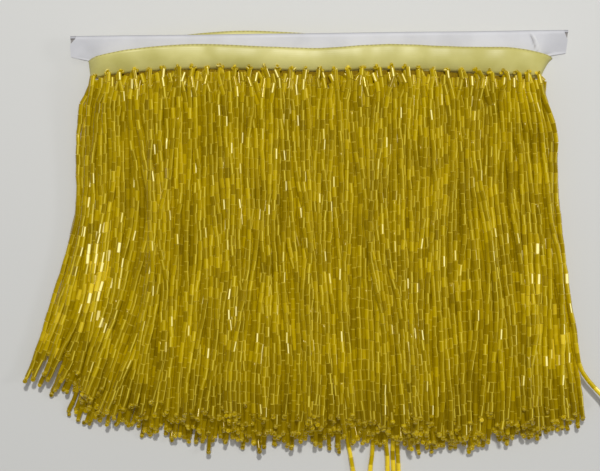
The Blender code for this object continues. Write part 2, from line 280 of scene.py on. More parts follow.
def set_ramp(node: bpy.types.Node, stops: tuple[tuple[float, str], ...]) -> None:
    """Sets a colour ramp's stops.

    Args:
        node: A ColorRamp node.
        stops: Position and sRGB hex colour of each stop.
    """
    ramp = node.color_ramp
    while len(ramp.elements) < len(stops):
        ramp.elements.new(0.5)
    for element, (position, colour) in zip(ramp.elements, stops):
        element.position = position
        element.color = linear_colour(colour)


@dataclass(frozen=True)
class Finish:
    """A surface finish, which makes its own material."""

    name: str

    def start(self) -> tuple[bpy.types.Material, bpy.types.NodeTree, bpy.types.Node]:
        """Starts the material.

        Returns:
            The new material, its tree and its Principled shader.
        """
        material = bpy.data.materials.new(self.name)
        material.use_nodes = True
        tree = material.node_tree
        return material, tree, tree.nodes["Principled BSDF"]

    @staticmethod
    def wave_scale(pitch: float) -> float:
        """Returns the scale at which a Wave Texture's bands lie a pitch apart, in metres."""
        return 1 / pitch / 6.3


@dataclass(frozen=True)
class GlassFinish(Finish):
    """Transparent yellow glass tube, cut and lightly fire-polished.

    The eye sees amber depth inside each bead. The rest is painted light: painted shade down one side
    of each bead, a thin painted highlight line along the other for the light that the tube gathers,
    a painted highlight ring at each cut end, painted glints that raise the tone to the ramp's top
    colour, and a faint painted glow for the light that a pile of glass passes on from bead to bead.
    """

    deep: str = "6E5A00"
    body: str = "917A00"
    pale: str = "AE9500"
    # Painted highlight: the tone ramp's top colour, which only the painted glints reach.
    painted_lit: str = "DABF2C"
    # Painted shade down one side of each bead.
    far: str = "6A5500"
    # Painted highlights: the light line and the cut rings, then the glints.
    painted_highlight: str = "D3C042"
    gleam: str = "FFF4A0"
    shine: str = "FFF0B4"
    # Where the painted light line, the painted shade and the painted cut ring lie on each bead.
    line: tuple[float, float] = (0.04, 0.13)
    far_side: tuple[float, float] = (0.2, 0.65)
    far_share: float = 0.55
    ring: tuple[float, float] = (0.9, 0.97)
    cloud: float = 2.6 * MM
    cloud_share: float = 0.12
    # Strength of the painted glow.
    glow: float = 0.33
    roughness: float = 0.2
    ior: float = 1.5
    see_through: float = 0.15

    def build(self) -> bpy.types.Material:
        """Returns the material."""
        material, tree, shader = self.start()
        names = ("tone", "around", "along", "light", "cut")
        share = {n: add_node(tree, "Attribute", attribute_name=n).outputs["Fac"] for n in names}
        to_end = add_node(tree, "Math", {0: share["along"]}, operation="ABSOLUTE").outputs[0]
        place = add_node(tree, "TexCoord").outputs["Object"]
        inputs = {"Vector": place, "Scale": 1 / self.cloud, "Detail": 2.0}
        cloud = add_node(tree, "TexNoise", inputs).outputs["Fac"]
        lowest, highest = -self.cloud_share / 2, self.cloud_share / 2
        cloud = add_node(tree, "MapRange", {0: cloud, 3: lowest, 4: highest}).outputs[0]
        tone = add_node(tree, "Math", {0: share["tone"], 1: cloud}, operation="ADD")
        ramp = add_node(tree, "ValToRGB", {"Fac": tone.outputs[0]})
        set_ramp(ramp, ((0.0, self.deep), (0.5, self.body), (0.8, self.pale), (1.0, self.painted_lit)))
        # Painted shade down one side of each bead.
        inputs = {0: share["around"], 1: self.far_side[0], 2: self.far_side[1], 4: self.far_share}
        far = add_node(tree, "MapRange", inputs).outputs[0]
        inputs = {0: far, 6: ramp.outputs["Color"], 7: linear_colour(self.far)}
        colour = add_node(tree, "Mix", inputs, data_type="RGBA").outputs[2]
        # Painted highlights: the light line along each bead, then the ring at its cut ends.
        painted_line_colour = add_node(tree, "ValToRGB", {"Fac": share["light"]})
        set_ramp(painted_line_colour, ((0.88, self.painted_highlight), (1.0, self.gleam)))
        painted_line_colour = painted_line_colour.outputs["Color"]
        ring = linear_colour(self.painted_highlight)
        for measure, start, end, strength, painted_lit in (
            (share["around"], self.line[1], self.line[0], share["light"], painted_line_colour),
            (to_end, self.ring[0], self.ring[1], share["cut"], ring),
        ):
            inputs = {0: measure, 1: start, 2: end}
            mark = add_node(tree, "MapRange", inputs, interpolation_type="SMOOTHSTEP")
            inputs = {0: mark.outputs[0], 1: strength}
            mark = add_node(tree, "Math", inputs, operation="MULTIPLY").outputs[0]
            inputs = {0: mark, 6: colour, 7: painted_lit}
            colour = add_node(tree, "Mix", inputs, data_type="RGBA").outputs[2]
        # The emission is a painted glow.
        fill(shader, {"Base Color": colour, "Emission Color": colour, "Emission Strength": self.glow})
        fill(shader, {"Roughness": self.roughness, "IOR": self.ior})
        fill(shader, {"Transmission Weight": self.see_through, "Specular Tint": linear_colour(self.shine)})
        return material


@dataclass(frozen=True)
class ThreadShadeFinish(Finish):
    """Twisted polyester thread in the beads' colour, packed close where it holds the strands.

    The eye sees a dull band of fine upright lines between the strands' roots. Its dark colour is
    painted shade, standing for the shade under the ribbon's lower edge.
    """

    light: str = "967A04"
    dark: str = "6E5600"
    strand: float = 0.3 * MM
    roughness: float = 0.8
    specular: float = 0.15

    def build(self) -> bpy.types.Material:
        """Returns the material."""
        material, tree, shader = self.start()
        place = add_node(tree, "TexCoord").outputs["Object"]
        inputs = {"Vector": place, "Scale": self.wave_scale(self.strand), "Distortion": 2.0}
        thread = add_node(tree, "TexWave", inputs, bands_direction="X")
        ramp = add_node(tree, "ValToRGB", {"Fac": thread.outputs["Fac"]})
        set_ramp(ramp, ((0.2, self.dark), (0.8, self.light)))
        inputs = {"Height": thread.outputs["Fac"], "Strength": 0.5, "Distance": 0.15 * MM}
        bump = add_node(tree, "Bump", inputs)
        fill(shader, {"Base Color": ramp.outputs["Color"], "Normal": bump.outputs["Normal"]})
        fill(shader, {"Roughness": self.roughness, "Specular IOR Level": self.specular})
        return material


@dataclass(frozen=True)
class SatinFinish(Finish):
    """Polyester satin ribbon, woven with long floats between two firm selvages.

    The eye sees a soft sheen that shifts over each ripple, and a dotted line along each edge.
    The thread is drawn four times as coarse as it is, or it would not show.
    """

    light: str = "D3CB7F"
    shade: str = "BFB767"
    selvage: str = "AEA468"
    roughness: float = 0.42
    specular: float = 0.45
    cloud: float = 16 * MM
    thread: float = 0.5 * MM
    selvage_share: float = 0.045
    dot: float = 0.9 * MM

    def build(self, length: float, width: float) -> bpy.types.Material:
        """Returns the material.

        Args:
            length: Length of the ribbon, which its UV map runs along.
            width: Width of the ribbon, which its UV map runs across.

        Returns:
            The material.
        """
        material, tree, shader = self.start()
        uv = add_node(tree, "UVMap", uv_map="cloth")
        inputs = {0: uv.outputs["UV"], 1: (length, width, 0)}
        cloth = add_node(tree, "VectorMath", inputs, operation="MULTIPLY").outputs[0]
        inputs = {"Vector": cloth, "Scale": 1 / self.cloud, "Detail": 3.0}
        cloud = add_node(tree, "TexNoise", inputs)
        ramp = add_node(tree, "ValToRGB", {"Fac": cloud.outputs["Fac"]})
        set_ramp(ramp, ((0.35, self.shade), (0.65, self.light)))
        across = add_node(tree, "SeparateXYZ", {0: uv.outputs["UV"]}).outputs[1]
        from_middle = {0: across, 1: 0.5}
        from_middle = add_node(tree, "Math", from_middle, operation="SUBTRACT").outputs[0]
        from_middle = add_node(tree, "Math", {0: from_middle}, operation="ABSOLUTE").outputs[0]
        inputs = {0: from_middle, 1: 0.5 - self.selvage_share}
        at_edge = add_node(tree, "Math", inputs, operation="GREATER_THAN").outputs[0]
        inputs = {"Vector": cloth, "Scale": self.wave_scale(self.dot), "Distortion": 0.5}
        dots = add_node(tree, "TexWave", inputs, bands_direction="X").outputs["Fac"]
        inputs = {0: dots, 1: at_edge}
        dotted = add_node(tree, "Math", inputs, operation="MULTIPLY").outputs[0]
        inputs = {0: dotted, 6: ramp.outputs["Color"], 7: linear_colour(self.selvage)}
        colour = add_node(tree, "Mix", inputs, data_type="RGBA").outputs[2]
        inputs = {"Vector": cloth, "Scale": self.wave_scale(self.thread), "Distortion": 1.0}
        weave = add_node(tree, "TexWave", inputs, bands_direction="Y")
        inputs = {"Height": weave.outputs["Fac"], "Strength": 0.2, "Distance": 0.04 * MM}
        bump = add_node(tree, "Bump", inputs)
        fill(shader, {"Base Color": colour, "Normal": bump.outputs["Normal"]})
        fill(shader, {"Roughness": self.roughness, "Specular IOR Level": self.specular})
        return material


@dataclass(frozen=True)
class BoardFinish(Finish):
    """White-lined board, calendered smooth and cut with a blade.

    The eye sees a cool white face with a faint cloudiness, and a greyer line along the fold. The
    crease's groove is darker, partly from cracks in its white lining and partly as painted shade,
    and the ridge beside it has a painted highlight.
    """

    face: str = "CDCDD2"
    worn: str = "C3C3C8"
    fold: str = "A9A9AE"
    crease_crack_and_shade: str = "A4A2A4"
    ridge_painted_highlight: str = "D8D8DA"
    mottle: float = 14 * MM
    fibre: float = 0.6 * MM
    fold_line: float = 0.25 * MM
    roughness: float = 0.5

    def build(self, fold_y: float) -> bpy.types.Material:
        """Returns the material.

        Args:
            fold_y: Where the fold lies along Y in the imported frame.

        Returns:
            The material.
        """
        material, tree, shader = self.start()
        place = add_node(tree, "TexCoord").outputs["Object"]
        inputs = {"Vector": place, "Scale": 1 / self.mottle, "Detail": 5.0}
        mottle = add_node(tree, "TexNoise", inputs)
        ramp = add_node(tree, "ValToRGB", {"Fac": mottle.outputs["Fac"]})
        set_ramp(ramp, ((0.3, self.worn), (0.6, self.face)))
        y = add_node(tree, "SeparateXYZ", {0: place}).outputs[1]
        inputs = {0: y, 1: fold_y - 3 * self.fold_line, 2: fold_y - self.fold_line}
        at_fold = add_node(tree, "MapRange", inputs).outputs[0]
        inputs = {0: at_fold, 6: ramp.outputs["Color"], 7: linear_colour(self.fold)}
        colour = add_node(tree, "Mix", inputs, data_type="RGBA").outputs[2]
        # Painted shade in the crease's groove, partly cracks in the lining, and a painted highlight on the
        # ridge.
        crease = add_node(tree, "Attribute", attribute_name="crease").outputs["Fac"]
        ridge = add_node(tree, "Math", {0: crease, 1: -1.0}, operation="MULTIPLY").outputs[0]
        for mark, shade in ((crease, self.crease_crack_and_shade), (ridge, self.ridge_painted_highlight)):
            inputs = {0: mark, 6: colour, 7: linear_colour(shade)}
            colour = add_node(tree, "Mix", inputs, data_type="RGBA").outputs[2]
        inputs = {"Vector": place, "Scale": 1 / self.fibre, "Detail": 2.0}
        fibre = add_node(tree, "TexNoise", inputs)
        inputs = {"Height": fibre.outputs["Fac"], "Strength": 0.1, "Distance": 0.05 * MM}
        bump = add_node(tree, "Bump", inputs).outputs["Normal"]
        fill(shader, {"Base Color": colour, "Normal": bump, "Roughness": self.roughness})
        return material


@dataclass(frozen=True)
class GreyBoardShadeFinish(Finish):
    """The board's unlined inner side, of grey recycled pulp.

    The eye sees a dull grey with darker flecks, where a clipped corner leaves it bare. The grey is
    partly painted shade, for the shade inside the fold.
    """

    light: str = "A09C9A"
    dark: str = "86827F"
    fleck: float = 0.8 * MM
    roughness: float = 0.9

    def build(self) -> bpy.types.Material:
        """Returns the material."""
        material, tree, shader = self.start()
        place = add_node(tree, "TexCoord").outputs["Object"]
        inputs = {"Vector": place, "Scale": 1 / self.fleck, "Detail": 4.0}
        pulp = add_node(tree, "TexNoise", inputs)
        ramp = add_node(tree, "ValToRGB", {"Fac": pulp.outputs["Fac"]})
        set_ramp(ramp, ((0.35, self.dark), (0.65, self.light)))
        fill(shader, {"Base Color": ramp.outputs["Color"], "Roughness": self.roughness})
        return material


@dataclass(frozen=True)
class FloorFinish(Finish):
    """A plain pale laminate top, which the eye sees as an even, matt near-white."""

    face: str = "D4D4D2"
    roughness: float = 0.6

    def build(self) -> bpy.types.Material:
        """Returns the material."""
        material, _, shader = self.start()
        fill(shader, {"Base Color": linear_colour(self.face), "Roughness": self.roughness})
        return material


# The roll's plan


@dataclass(frozen=True)
class Turn:
    """One half turn of the ribbon, on one side of the card, with its strands.

    number counts outwards from the card. lower is where the lower edge lies: how far above the
    outer turn's edge, or below the card's top edge where the turn has slipped down the card, and
    slant how far it falls towards the right. The beads start hang below it. level is the strands'
    place in the pile, counted up from the surface.
    """

    number: int
    side: Side
    level: int
    lower: float
    reach: float
    node: str
    slant: float = 0.0
    hang: float = 0.4 * MM
    slipped: bool = False
    detail: Detail = Detail.PLAIN

    @property
    def name(self) -> str:
        """The turn's name."""
        return f"{self.side.name.lower()}_{self.number}"


def slipped_turn(number: int, side: Side, level: int, lower: float, reach: float, node: str) -> Turn:
    """Returns a turn that has slipped down the card."""
    return Turn(number, side, level, lower, reach, node, slipped=True)


TURNS = (
    Turn(6, Side.BACK, 0, 0.0, 0.97, "fringe_back_outer"),
    Turn(5, Side.BACK, 1, 0.4 * MM, 0.965, "fringe_back_outer", hang=1.8 * MM),
    Turn(4, Side.BACK, 2, 0.7 * MM, 0.96, "fringe_back_outer", hang=2.6 * MM),
    slipped_turn(3, Side.BACK, 3, -28.0 * MM, 0.96, "fringe_back_inner"),
    slipped_turn(2, Side.BACK, 4, -29.5 * MM, 0.95, "fringe_back_inner"),
    slipped_turn(1, Side.BACK, 5, -30.5 * MM, 0.95, "fringe_back_inner"),
    slipped_turn(1, Side.FRONT, 6, -25.5 * MM, 0.97, "fringe_front_inner"),
    slipped_turn(2, Side.FRONT, 7, -24.0 * MM, 0.975, "fringe_front_inner"),
    slipped_turn(3, Side.FRONT, 8, -22.0 * MM, 0.98, "fringe_front_inner"),
    Turn(4, Side.FRONT, 9, 0.8 * MM, 0.985, "fringe_front_outer", -1.0 * MM, 2.2 * MM),
    Turn(
        5, Side.FRONT, 10, 0.5 * MM, 0.99, "fringe_front_outer", -1.0 * MM, 1.2 * MM, detail=Detail.FINE
    ),
    Turn(6, Side.FRONT, 11, 0.0, 1.0, "fringe_front_outer", 0.0, -0.9 * MM, detail=Detail.FINE),
)


@dataclass(frozen=True)
class Plan:
    """Where the roll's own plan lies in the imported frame, and how the ribbon lies in it.

    The outer turn's edges bow along the card and differ on its two sides.
    """

    x: float
    y: float
    card_z: float
    strand_half_length: float = 101.0 * MM
    ribbon_width: float = 11.0 * MM
    stitch_pitch: float = 6.2 * MM
    turns: int = 6
    slipped_turns: int = 3
    inner_lift: float = 2.2 * MM
    outer_lift: float = 4.45 * MM
    inner_half_length: float = 97.7 * MM
    outer_half_length: float = 102.05 * MM
    inner_bulge: float = 0.2 * MM
    outer_bulge: float = 1.6 * MM
    ends_rise: tuple[float, float] = (90.5 * MM, 96.5 * MM)
    fall: float = 1.3 * MM
    taper_left: float = 0.9 * MM
    taper_right: float = 5.4 * MM
    taper_power: float = 12.0
    taper_bow: float = 0.7
    curls: Table = table(
        "x curl",
        (-102.2, 0.1), (-76.0, 0.2), (-62.0, 0.7), (-54.0, 1.5), (-20.0, 1.3), (15.0, 1.1),
        (34.0, 1.0), (42.0, 1.7), (58.0, 1.7), (70.0, 1.2), (102.2, 0.4),
    )
    front_edges: Table = table(
        "x upper lower",
        (-102.2, -9.8, -18.2), (-84.0, -6.3, -16.2), (-60.0, -4.2, -15.0), (-20.0, -5.6, -15.8),
        (-2.0, -6.3, -16.6), (28.0, -5.0, -16.0), (60.0, -6.4, -17.6), (90.0, -7.9, -19.4),
        (102.2, -10.9, -19.9),
    )
    back_edges: Table = table(
        "x upper lower",
        (-102.2, -11.8, -18.2), (-72.0, -1.0, -12.0), (-60.0, 1.1, -9.9), (-50.0, 2.1, -8.9),
        (-36.0, 2.8, -8.2), (-15.0, 2.0, -9.0), (-3.0, 1.1, -9.9), (15.0, -1.0, -12.0),
        (50.0, -4.6, -15.6), (102.2, -12.2, -19.9),
    )

    @classmethod
    def from_frame(cls) -> Plan:
        """Returns the plan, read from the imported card's box."""
        low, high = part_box("card")
        return cls(x=(low[0] + high[0]) / 2, y=high[1], card_z=(low[2] + high[2]) / 2)

    def between(self, inner: float, outer: float, number: int) -> float:
        """Returns a size of one turn, from the innermost turn's and the outermost's."""
        return inner + (outer - inner) * (number - 1) / (self.turns - 1)

    def lift(self, number: int) -> float:
        """Returns how far from the card's middle plane a turn lies at its ends."""
        return self.between(self.inner_lift, self.outer_lift, number)

    def half_length(self, number: int) -> float:
        """Returns how far from the middle a turn reaches."""
        return self.between(self.inner_half_length, self.outer_half_length, number)

    def bulge(self, number: int) -> float:
        """Returns how much further from the card a turn lies at its middle."""
        return self.between(self.inner_bulge, self.outer_bulge, number)

    def edges(self, turn: Turn, x: np.ndarray) -> tuple[np.ndarray, np.ndarray]:
        """Returns a turn's lower and upper edge.

        Args:
            turn: The turn.
            x: Where along the card.

        Returns:
            y of both edges at each x.
        """
        rows = self.front_edges if turn.side is Side.FRONT else self.back_edges
        outer_lower = curve_through(rows, "lower", x) - self.fall
        outer_upper = curve_through(rows, "upper", x) - self.fall
        if not turn.slipped:
            offset = turn.lower + turn.slant * (1 + x / self.outer_half_length) / 2
            return outer_lower + offset, outer_upper + offset
        start, end = self.ends_rise
        at_end = smooth((np.abs(x) - start) / (end - start))
        lower = turn.lower + (outer_lower - turn.lower) * at_end
        upper = turn.lower + self.ribbon_width
        upper = upper + (outer_upper - upper) * at_end
        return lower, upper

    def edges_at(self, turn: Turn, x: float) -> tuple[float, float]:
        """Returns a turn's lower and upper edge at one place along the card."""
        lower, upper = self.edges(turn, np.array([x]))
        return float(lower[0]), float(upper[0])

    def stand(self, number: int, x: float) -> float:
        """Returns how far from the card's middle plane a turn lies at a place along the card."""
        share = min(1.0, abs(x) / self.half_length(number))
        return self.lift(number) + self.bulge(number) * (1 - share**2)

    def taper(self, x: float, across: float) -> float:
        """Returns how far the ribbon is drawn in at the card's ends, most at its lower edge.

        Args:
            x: Place along the card.
            across: Place across the ribbon, 0 at the lower edge and 1 at the upper.

        Returns:
            The distance, which is positive on the right and negative on the left.
        """
        size = self.taper_right if x > 0 else self.taper_left
        share = abs(x / self.outer_half_length) ** self.taper_power
        return math.copysign(1, x) * size * share * (1 - across) ** self.taper_bow

    def curl(self, turn: Turn, x: float) -> float:
        """Returns how far a turn's lower edge curls towards the card.

        Args:
            turn: The turn. One that has slipped down the card doesn't curl.
            x: Place along the card.

        Returns:
            The distance.
        """
        if turn.slipped:
            return 0.0
        share = (turn.number - self.slipped_turns) / (self.turns - self.slipped_turns)
        return share * float(curve_through(self.curls, "curl", np.array([x]))[0])

    def place(self, mesh: bpy.types.Mesh) -> bpy.types.Mesh:
        """Moves a mesh from the roll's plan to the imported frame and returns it."""
        mesh.transform(Matrix.Translation((self.x, self.y, 0)))
        return mesh


@dataclass
class Strand:
    """One strand of beads, as the joints between its beads."""

    turn: Turn
    stitch_x: float
    joints: np.ndarray
    tone: float


@dataclass
class Drape:
    """Lines of beads that settle on a surface and on each other.

    Every line has a place across and a height at each station. Lines that are too near push each
    other away, all sink under their weight, and each stays near the way that it was laid.
    """

    across: np.ndarray
    height: np.ndarray
    loose: np.ndarray
    here: np.ndarray
    lowest: np.ndarray
    highest: np.ndarray
    width: float
    rounds: int = 260
    relist_every: int = 4
    neighbours: int = 30
    near: float = 1.2
    least_gap: float = 1e-9
    least_loose: float = 1e-6
    fall: float = 0.03 * MM
    stiffness: float = 0.22
    hold: float = 0.02
    push: float = 1.3

    def near_pairs(self) -> tuple[np.ndarray, np.ndarray]:
        """Finds the pairs of places that are near enough to touch soon.

        Returns:
            Flat numbers of the first and of the second place of each pair.
        """
        lines, stations = self.across.shape
        order = np.argsort(np.where(self.here, self.across, np.inf), axis=0)
        x = np.take_along_axis(self.across, order, axis=0)
        z = np.take_along_axis(self.height, order, axis=0)
        live = np.take_along_axis(self.here, order, axis=0)
        flat = order * stations + np.arange(stations)
        reach = self.width * self.near
        first, second = [], []
        for shift in range(1, self.neighbours):
            near = live[:-shift] & live[shift:]
            near &= x[shift:] - x[:-shift] < reach
            near &= np.abs(z[shift:] - z[:-shift]) < reach
            if not near.any():
                break
            first.append(flat[:-shift][near])
            second.append(flat[shift:][near])
        return np.concatenate(first), np.concatenate(second)

    def part(self, pairs: tuple[np.ndarray, np.ndarray]) -> None:
        """Pushes apart the pairs that overlap.

        Args:
            pairs: Flat numbers of the two places of each pair.
        """
        first, second = pairs
        x, z, loose = self.across.ravel(), self.height.ravel(), self.loose.ravel()
        dx, dz = x[first] - x[second], z[first] - z[second]
        apart = np.sqrt(dx * dx + dz * dz) + self.least_gap
        deep = np.clip(self.width - apart, 0, None)
        both = loose[first] + loose[second]
        share = deep / apart / np.maximum(both, self.least_loose)
        touching = (deep > 0).astype(float)
        size = x.size
        count = np.bincount(first, touching, size) + np.bincount(second, touching, size)
        count = np.maximum(count, 1)
        for values, gap in ((x, dx), (z, dz)):
            moved = np.bincount(first, share * gap, size) - np.bincount(second, share * gap, size)
            values += self.push * loose * moved / count
        self.across = x.reshape(self.across.shape)
        self.height = z.reshape(self.height.shape)

    def bent(self, values: np.ndarray) -> np.ndarray:
        """Returns how far each place is from its two neighbours on the line, taken together.

        Args:
            values: The places' values, one row for each line.

        Returns:
            The sum of the two differences, which is 0 in the middle between them.
        """
        ahead = np.zeros_like(values)
        behind = np.zeros_like(values)
        ahead[:, :-1] = (values[:, 1:] - values[:, :-1]) * self.here[:, 1:]
        behind[:, 1:] = (values[:, :-1] - values[:, 1:]) * self.here[:, :-1]
        return ahead + behind

    def settle(self) -> None:
        """Lets the lines come to rest."""
        laid = self.across.copy()
        pairs = self.near_pairs()
        for step in range(self.rounds):
            if step % self.relist_every == 0:
                pairs = self.near_pairs()
            self.height -= self.fall * self.loose
            self.part(pairs)
            strayed = self.across - laid
            strayed += self.loose * (self.stiffness * self.bent(strayed) - self.hold * strayed)
            self.across = laid + strayed
            self.height += self.loose * self.stiffness * self.bent(self.height)
            self.height = np.clip(self.height, self.lowest, self.highest)


@dataclass
class Pile:
    """The strands of all the turns, lying on the surface and on each other."""

    plan: Plan
    bead_width: float = 2.2 * MM
    bead_pitch: float = 4.42 * MM
    beads: int = 34
    layer: float = 1.5 * MM
    phase_step: float = 0.37
    root_gap: float = 0.5 * MM
    root_stack: float = 0.9 * MM
    inner_taper: float = 0.15
    root_run: float = 14.0 * MM
    right_root_run: float = 14.0 * MM
    right_from: float = 0.8
    first_lean: float = 1.3 * MM
    crown: float = 0.3
    crown_power: float = 2.5
    step: float = 2.5 * MM
    first_y: float = -7.0 * MM
    last_y: float = -216.0 * MM
    seed: int = 41
    left_reach: float = 0.9 * MM
    clumps: float = 0.9
    flares: Table = table(
        "side bulge run even size start power",
        (-1, 5.9, 6.5, 4, 43.0, 50, 1.52), (1, 7.2, 34, 5, 8.6, 50, 1.2),
    )
    lengths: Table = table(
        "x more",
        (-96.9, -3.2), (-95.6, -6.4), (-93.6, -6.2), (-92.8, -2.8), (-91.4, -2.6),
        (-90.6, -5.2), (-89.0, -5.0), (-88.2, -2.6), (-84.0, -2.3), (-77.0, -0.4),
        (-72.0, -0.8), (-50.0, 0.0), (-15.0, 0.4), (10.0, 0.3), (45.0, 1.1), (60.0, 0.9),
        (78.0, 0.1), (90.0, -0.2), (101.0, 0.4),
    )
    ripples: Table = table(
        "length size",
        (190.0, 1.1), (85.0, 0.6), (40.0, 0.3),
    )
    ripple_run: float = 60 * MM
    ripple_stretch: tuple[float, float] = (0.8, 1.25)
    stragglers: Table = table("share first last size run", (0.22, 2.0, 110.0, 4.0, 45.0))
    end_power: int = 8
    drift: float = 1.1 * MM
    drift_run: float = 70 * MM
    sway: float = 1.2 * MM
    sway_run: float = 120 * MM
    clump_from: float = 0.5
    clump_run: float = 0.3
    lean_at: float = 5 * MM
    lean_run: float = 4 * MM
    sink_run: float = 20 * MM
    root_jitter: float = 0.5 * MM
    level_jitter: float = 0.45
    short_share: float = 0.15
    flare_run: float = 100 * MM
    flare_power: float = 3.0
    long_strands: Table = table(
        "x beads lean",
        (10.0, 4, 3.0), (22.6, 3, -2.5), (27.9, 3, 0.4), (30.2, 4, 0.4), (32.5, 3, 0.4),
    )
    long_run: float = 90 * MM
    long_lean_from: float = 145 * MM
    long_lean_run: float = 22 * MM
    stray: float = 9.5 * MM
    stray_from: float = 127 * MM
    stray_run: float = 20 * MM
    slack: float = 0.011
    front_clear: float = 1.1 * MM
    front_clear_to: float = -21 * MM
    back_clear: float = 1.0 * MM
    back_clear_to: float = -30 * MM
    held_run: float = 1.5 * MM
    loose_run: float = 6 * MM
    squeeze: float = 0.97
    strands: list[Strand] = field(default_factory=list)

    def flow(self, share: float, down: np.ndarray) -> np.ndarray:
        """Returns where a strand lies across the roll before chance moves it.

        Args:
            share: The root's share of the half length, from -1 at the left end to 1.
            down: Distance below the ribbon's lower edge.

        Returns:
            x in the roll's plan.
        """
        x = np.full(len(down), self.plan.strand_half_length * share)
        for flare in self.flares:
            side = flare["side"]
            size = max(0.0, side * share)
            bulged = 1 - np.exp(-np.clip(down, 0, None) / (flare["run"] * MM))
            run = np.clip((down - flare["start"] * MM) / self.flare_run, 0, None)
            x += side * flare["bulge"] * MM * size ** flare["even"] * bulged
            x += side * flare["size"] * MM * size**self.flare_power * run ** flare["power"]
        return x

    def draft(self) -> tuple[list[dict], np.ndarray]:
        """Draws every strand's way across the roll, before it settles.

        Returns:
            One row for each strand, and the stations down the roll.
        """
        chance = np.random.default_rng(self.seed)
        stacks = np.random.default_rng(self.seed + 3)
        ys = np.arange(self.first_y, self.last_y, -self.step)
        shared = Waves(self.seed, 9, (11 * MM, 46 * MM), (120 * MM, 400 * MM))
        broad = Waves(self.seed + 1, 6, (60 * MM, 160 * MM), (150 * MM, 500 * MM))
        rows = []
        for turn in TURNS:
            half = turn.reach * self.plan.strand_half_length
            stitches = int(round(2 * half / self.plan.stitch_pitch))
            phase = (turn.level * self.phase_step) % 1 - 0.5 if turn.number < self.plan.turns else 0.0
            for stitch in range(stitches):
                place = (2 * stitch + 1 + phase) / stitches - 1
                root_x = half * place - self.left_reach * smooth(-place)
                inward = self.plan.turns - turn.number
                root_x -= self.plan.taper(root_x, 0.0) * (1 + self.inner_taper * inward)
                over = stacks.choice((-1, 1))
                for way in (-1, 1):
                    across = half * place + way * self.plan.stitch_pitch / 4
                    share = across / self.plan.strand_half_length
                    row = self.draw_way(turn, root_x, way, share, over * way, ys, chance)
                    drift = self.drift * smooth(row["down"] / self.drift_run) * shared.at(across, ys)
                    drift += self.sway * smooth(row["down"] / self.sway_run) * broad.at(across, ys)
                    clump = self.clumps * smooth((-share - self.clump_from) / self.clump_run)
                    row["x"] = row["x"] + drift * (1 + clump)
                    rows.append(row)
        for long in self.long_strands:
            self.draw_long(rows, long)
        last = max((r for r in rows if r["turn"] is TURNS[-1]), key=lambda r: r["root"][0])
        last["x"] = last["x"] + self.stray * smooth((last["down"] - self.stray_from) / self.stray_run)
        return rows, ys

    def draw_long(self, rows: list[dict], long: dict[str, float]) -> None:
        """Draws one of the longer strands, which reach past the others below.

        Args:
            rows: The strands' rows, of which the nearest becomes the long one.
            long: Where it comes out of the pile, its further beads, and how it leans there.
        """
        inner = [row for row in rows if row["turn"].name == "back_1" and "long" not in row]
        row = min(inner, key=lambda r: abs(r["root"][0] - long["x"] * MM))
        row["long"] = True
        row["x"] = row["x"] + (long["x"] * MM - row["x"]) * smooth(row["down"] / self.long_run)
        leaning = smooth((row["down"] - self.long_lean_from) / self.long_lean_run)
        row["x"] = row["x"] + long["lean"] * MM * leaning
        row["length"] = (self.beads + long["beads"]) * row["pitch"]

    def draw_way(
        self,
        turn: Turn,
        root_x: float,
        way: int,
        share: float,
        stack: int,
        ys: np.ndarray,
        chance: np.random.Generator,
    ) -> dict:
        """Draws one strand's own way.

        Args:
            turn: The strand's turn.
            root_x: The stitch that it hangs from.
            way: -1 for the stitch's left strand and 1 for its right one.
            share: Where it lies across the roll, as a share of the half length.
            stack: 1 where it starts over the stitch's other strand and -1 where it starts under it.
            ys: The stations.
            chance: Random draws.

        Returns:
            The strand's row.
        """
        plan = self.plan
        root_y = plan.edges_at(turn, root_x)[0] - turn.hang
        root_y += chance.uniform(-self.root_jitter, self.root_jitter)
        down = root_y - ys
        x = self.flow(share, down)
        grown = smooth(down / self.ripple_run)
        for ripple in self.ripples:
            length = ripple["length"] * MM * chance.uniform(*self.ripple_stretch)
            phase = chance.uniform(0, 2 * np.pi)
            wave = grown * np.sin(2 * np.pi * down / length + phase)
            x = x + ripple["size"] * MM * chance.normal(0, 1) * wave
        free = 1 - share**self.end_power
        for way_off in self.stragglers:
            if chance.random() < way_off["share"]:
                start = chance.uniform(way_off["first"], way_off["last"]) * MM
                away = chance.normal(0, way_off["size"]) * MM * free
                x = x + away * smooth((down - start) / (way_off["run"] * MM))
        own_root = root_x + way * self.root_gap
        run = self.root_run + self.right_root_run * smooth((share - self.right_from) / (1 - self.right_from))
        x = own_root + (x - own_root) * smooth(down / run)
        lean = self.first_lean * free * chance.normal(0, 1)
        x = x + lean * np.exp(-(((down - self.lean_at) / self.lean_run) ** 2))
        height = plan.stand(turn.number, root_x) - plan.curl(turn, root_x) + self.root_stack * stack
        root_z = plan.card_z + turn.side.value * height
        xs = [row["x"] * MM for row in self.lengths]
        more = float(np.interp(root_x, xs, [row["more"] for row in self.lengths]))
        beads = int(self.beads + more + chance.uniform(0, 1)) - int(chance.random() < self.short_share)
        beads -= int(turn.slipped and turn.side is Side.BACK)
        pitch = self.bead_pitch * (1 + abs(chance.normal(0, self.slack)))
        level = turn.level + chance.normal(0, self.level_jitter)
        arch = 1 - self.crown * abs(share) ** self.crown_power
        rest_z = self.bead_width / 2 + max(0.0, level) * self.layer * arch
        return {
            "turn": turn,
            "x": x,
            "down": down,
            "z": root_z + (rest_z - root_z) * smooth(down / self.sink_run),
            "stitch_x": root_x,
            "root": (own_root, root_y, root_z),
            "pitch": pitch,
            "length": beads * pitch,
        }

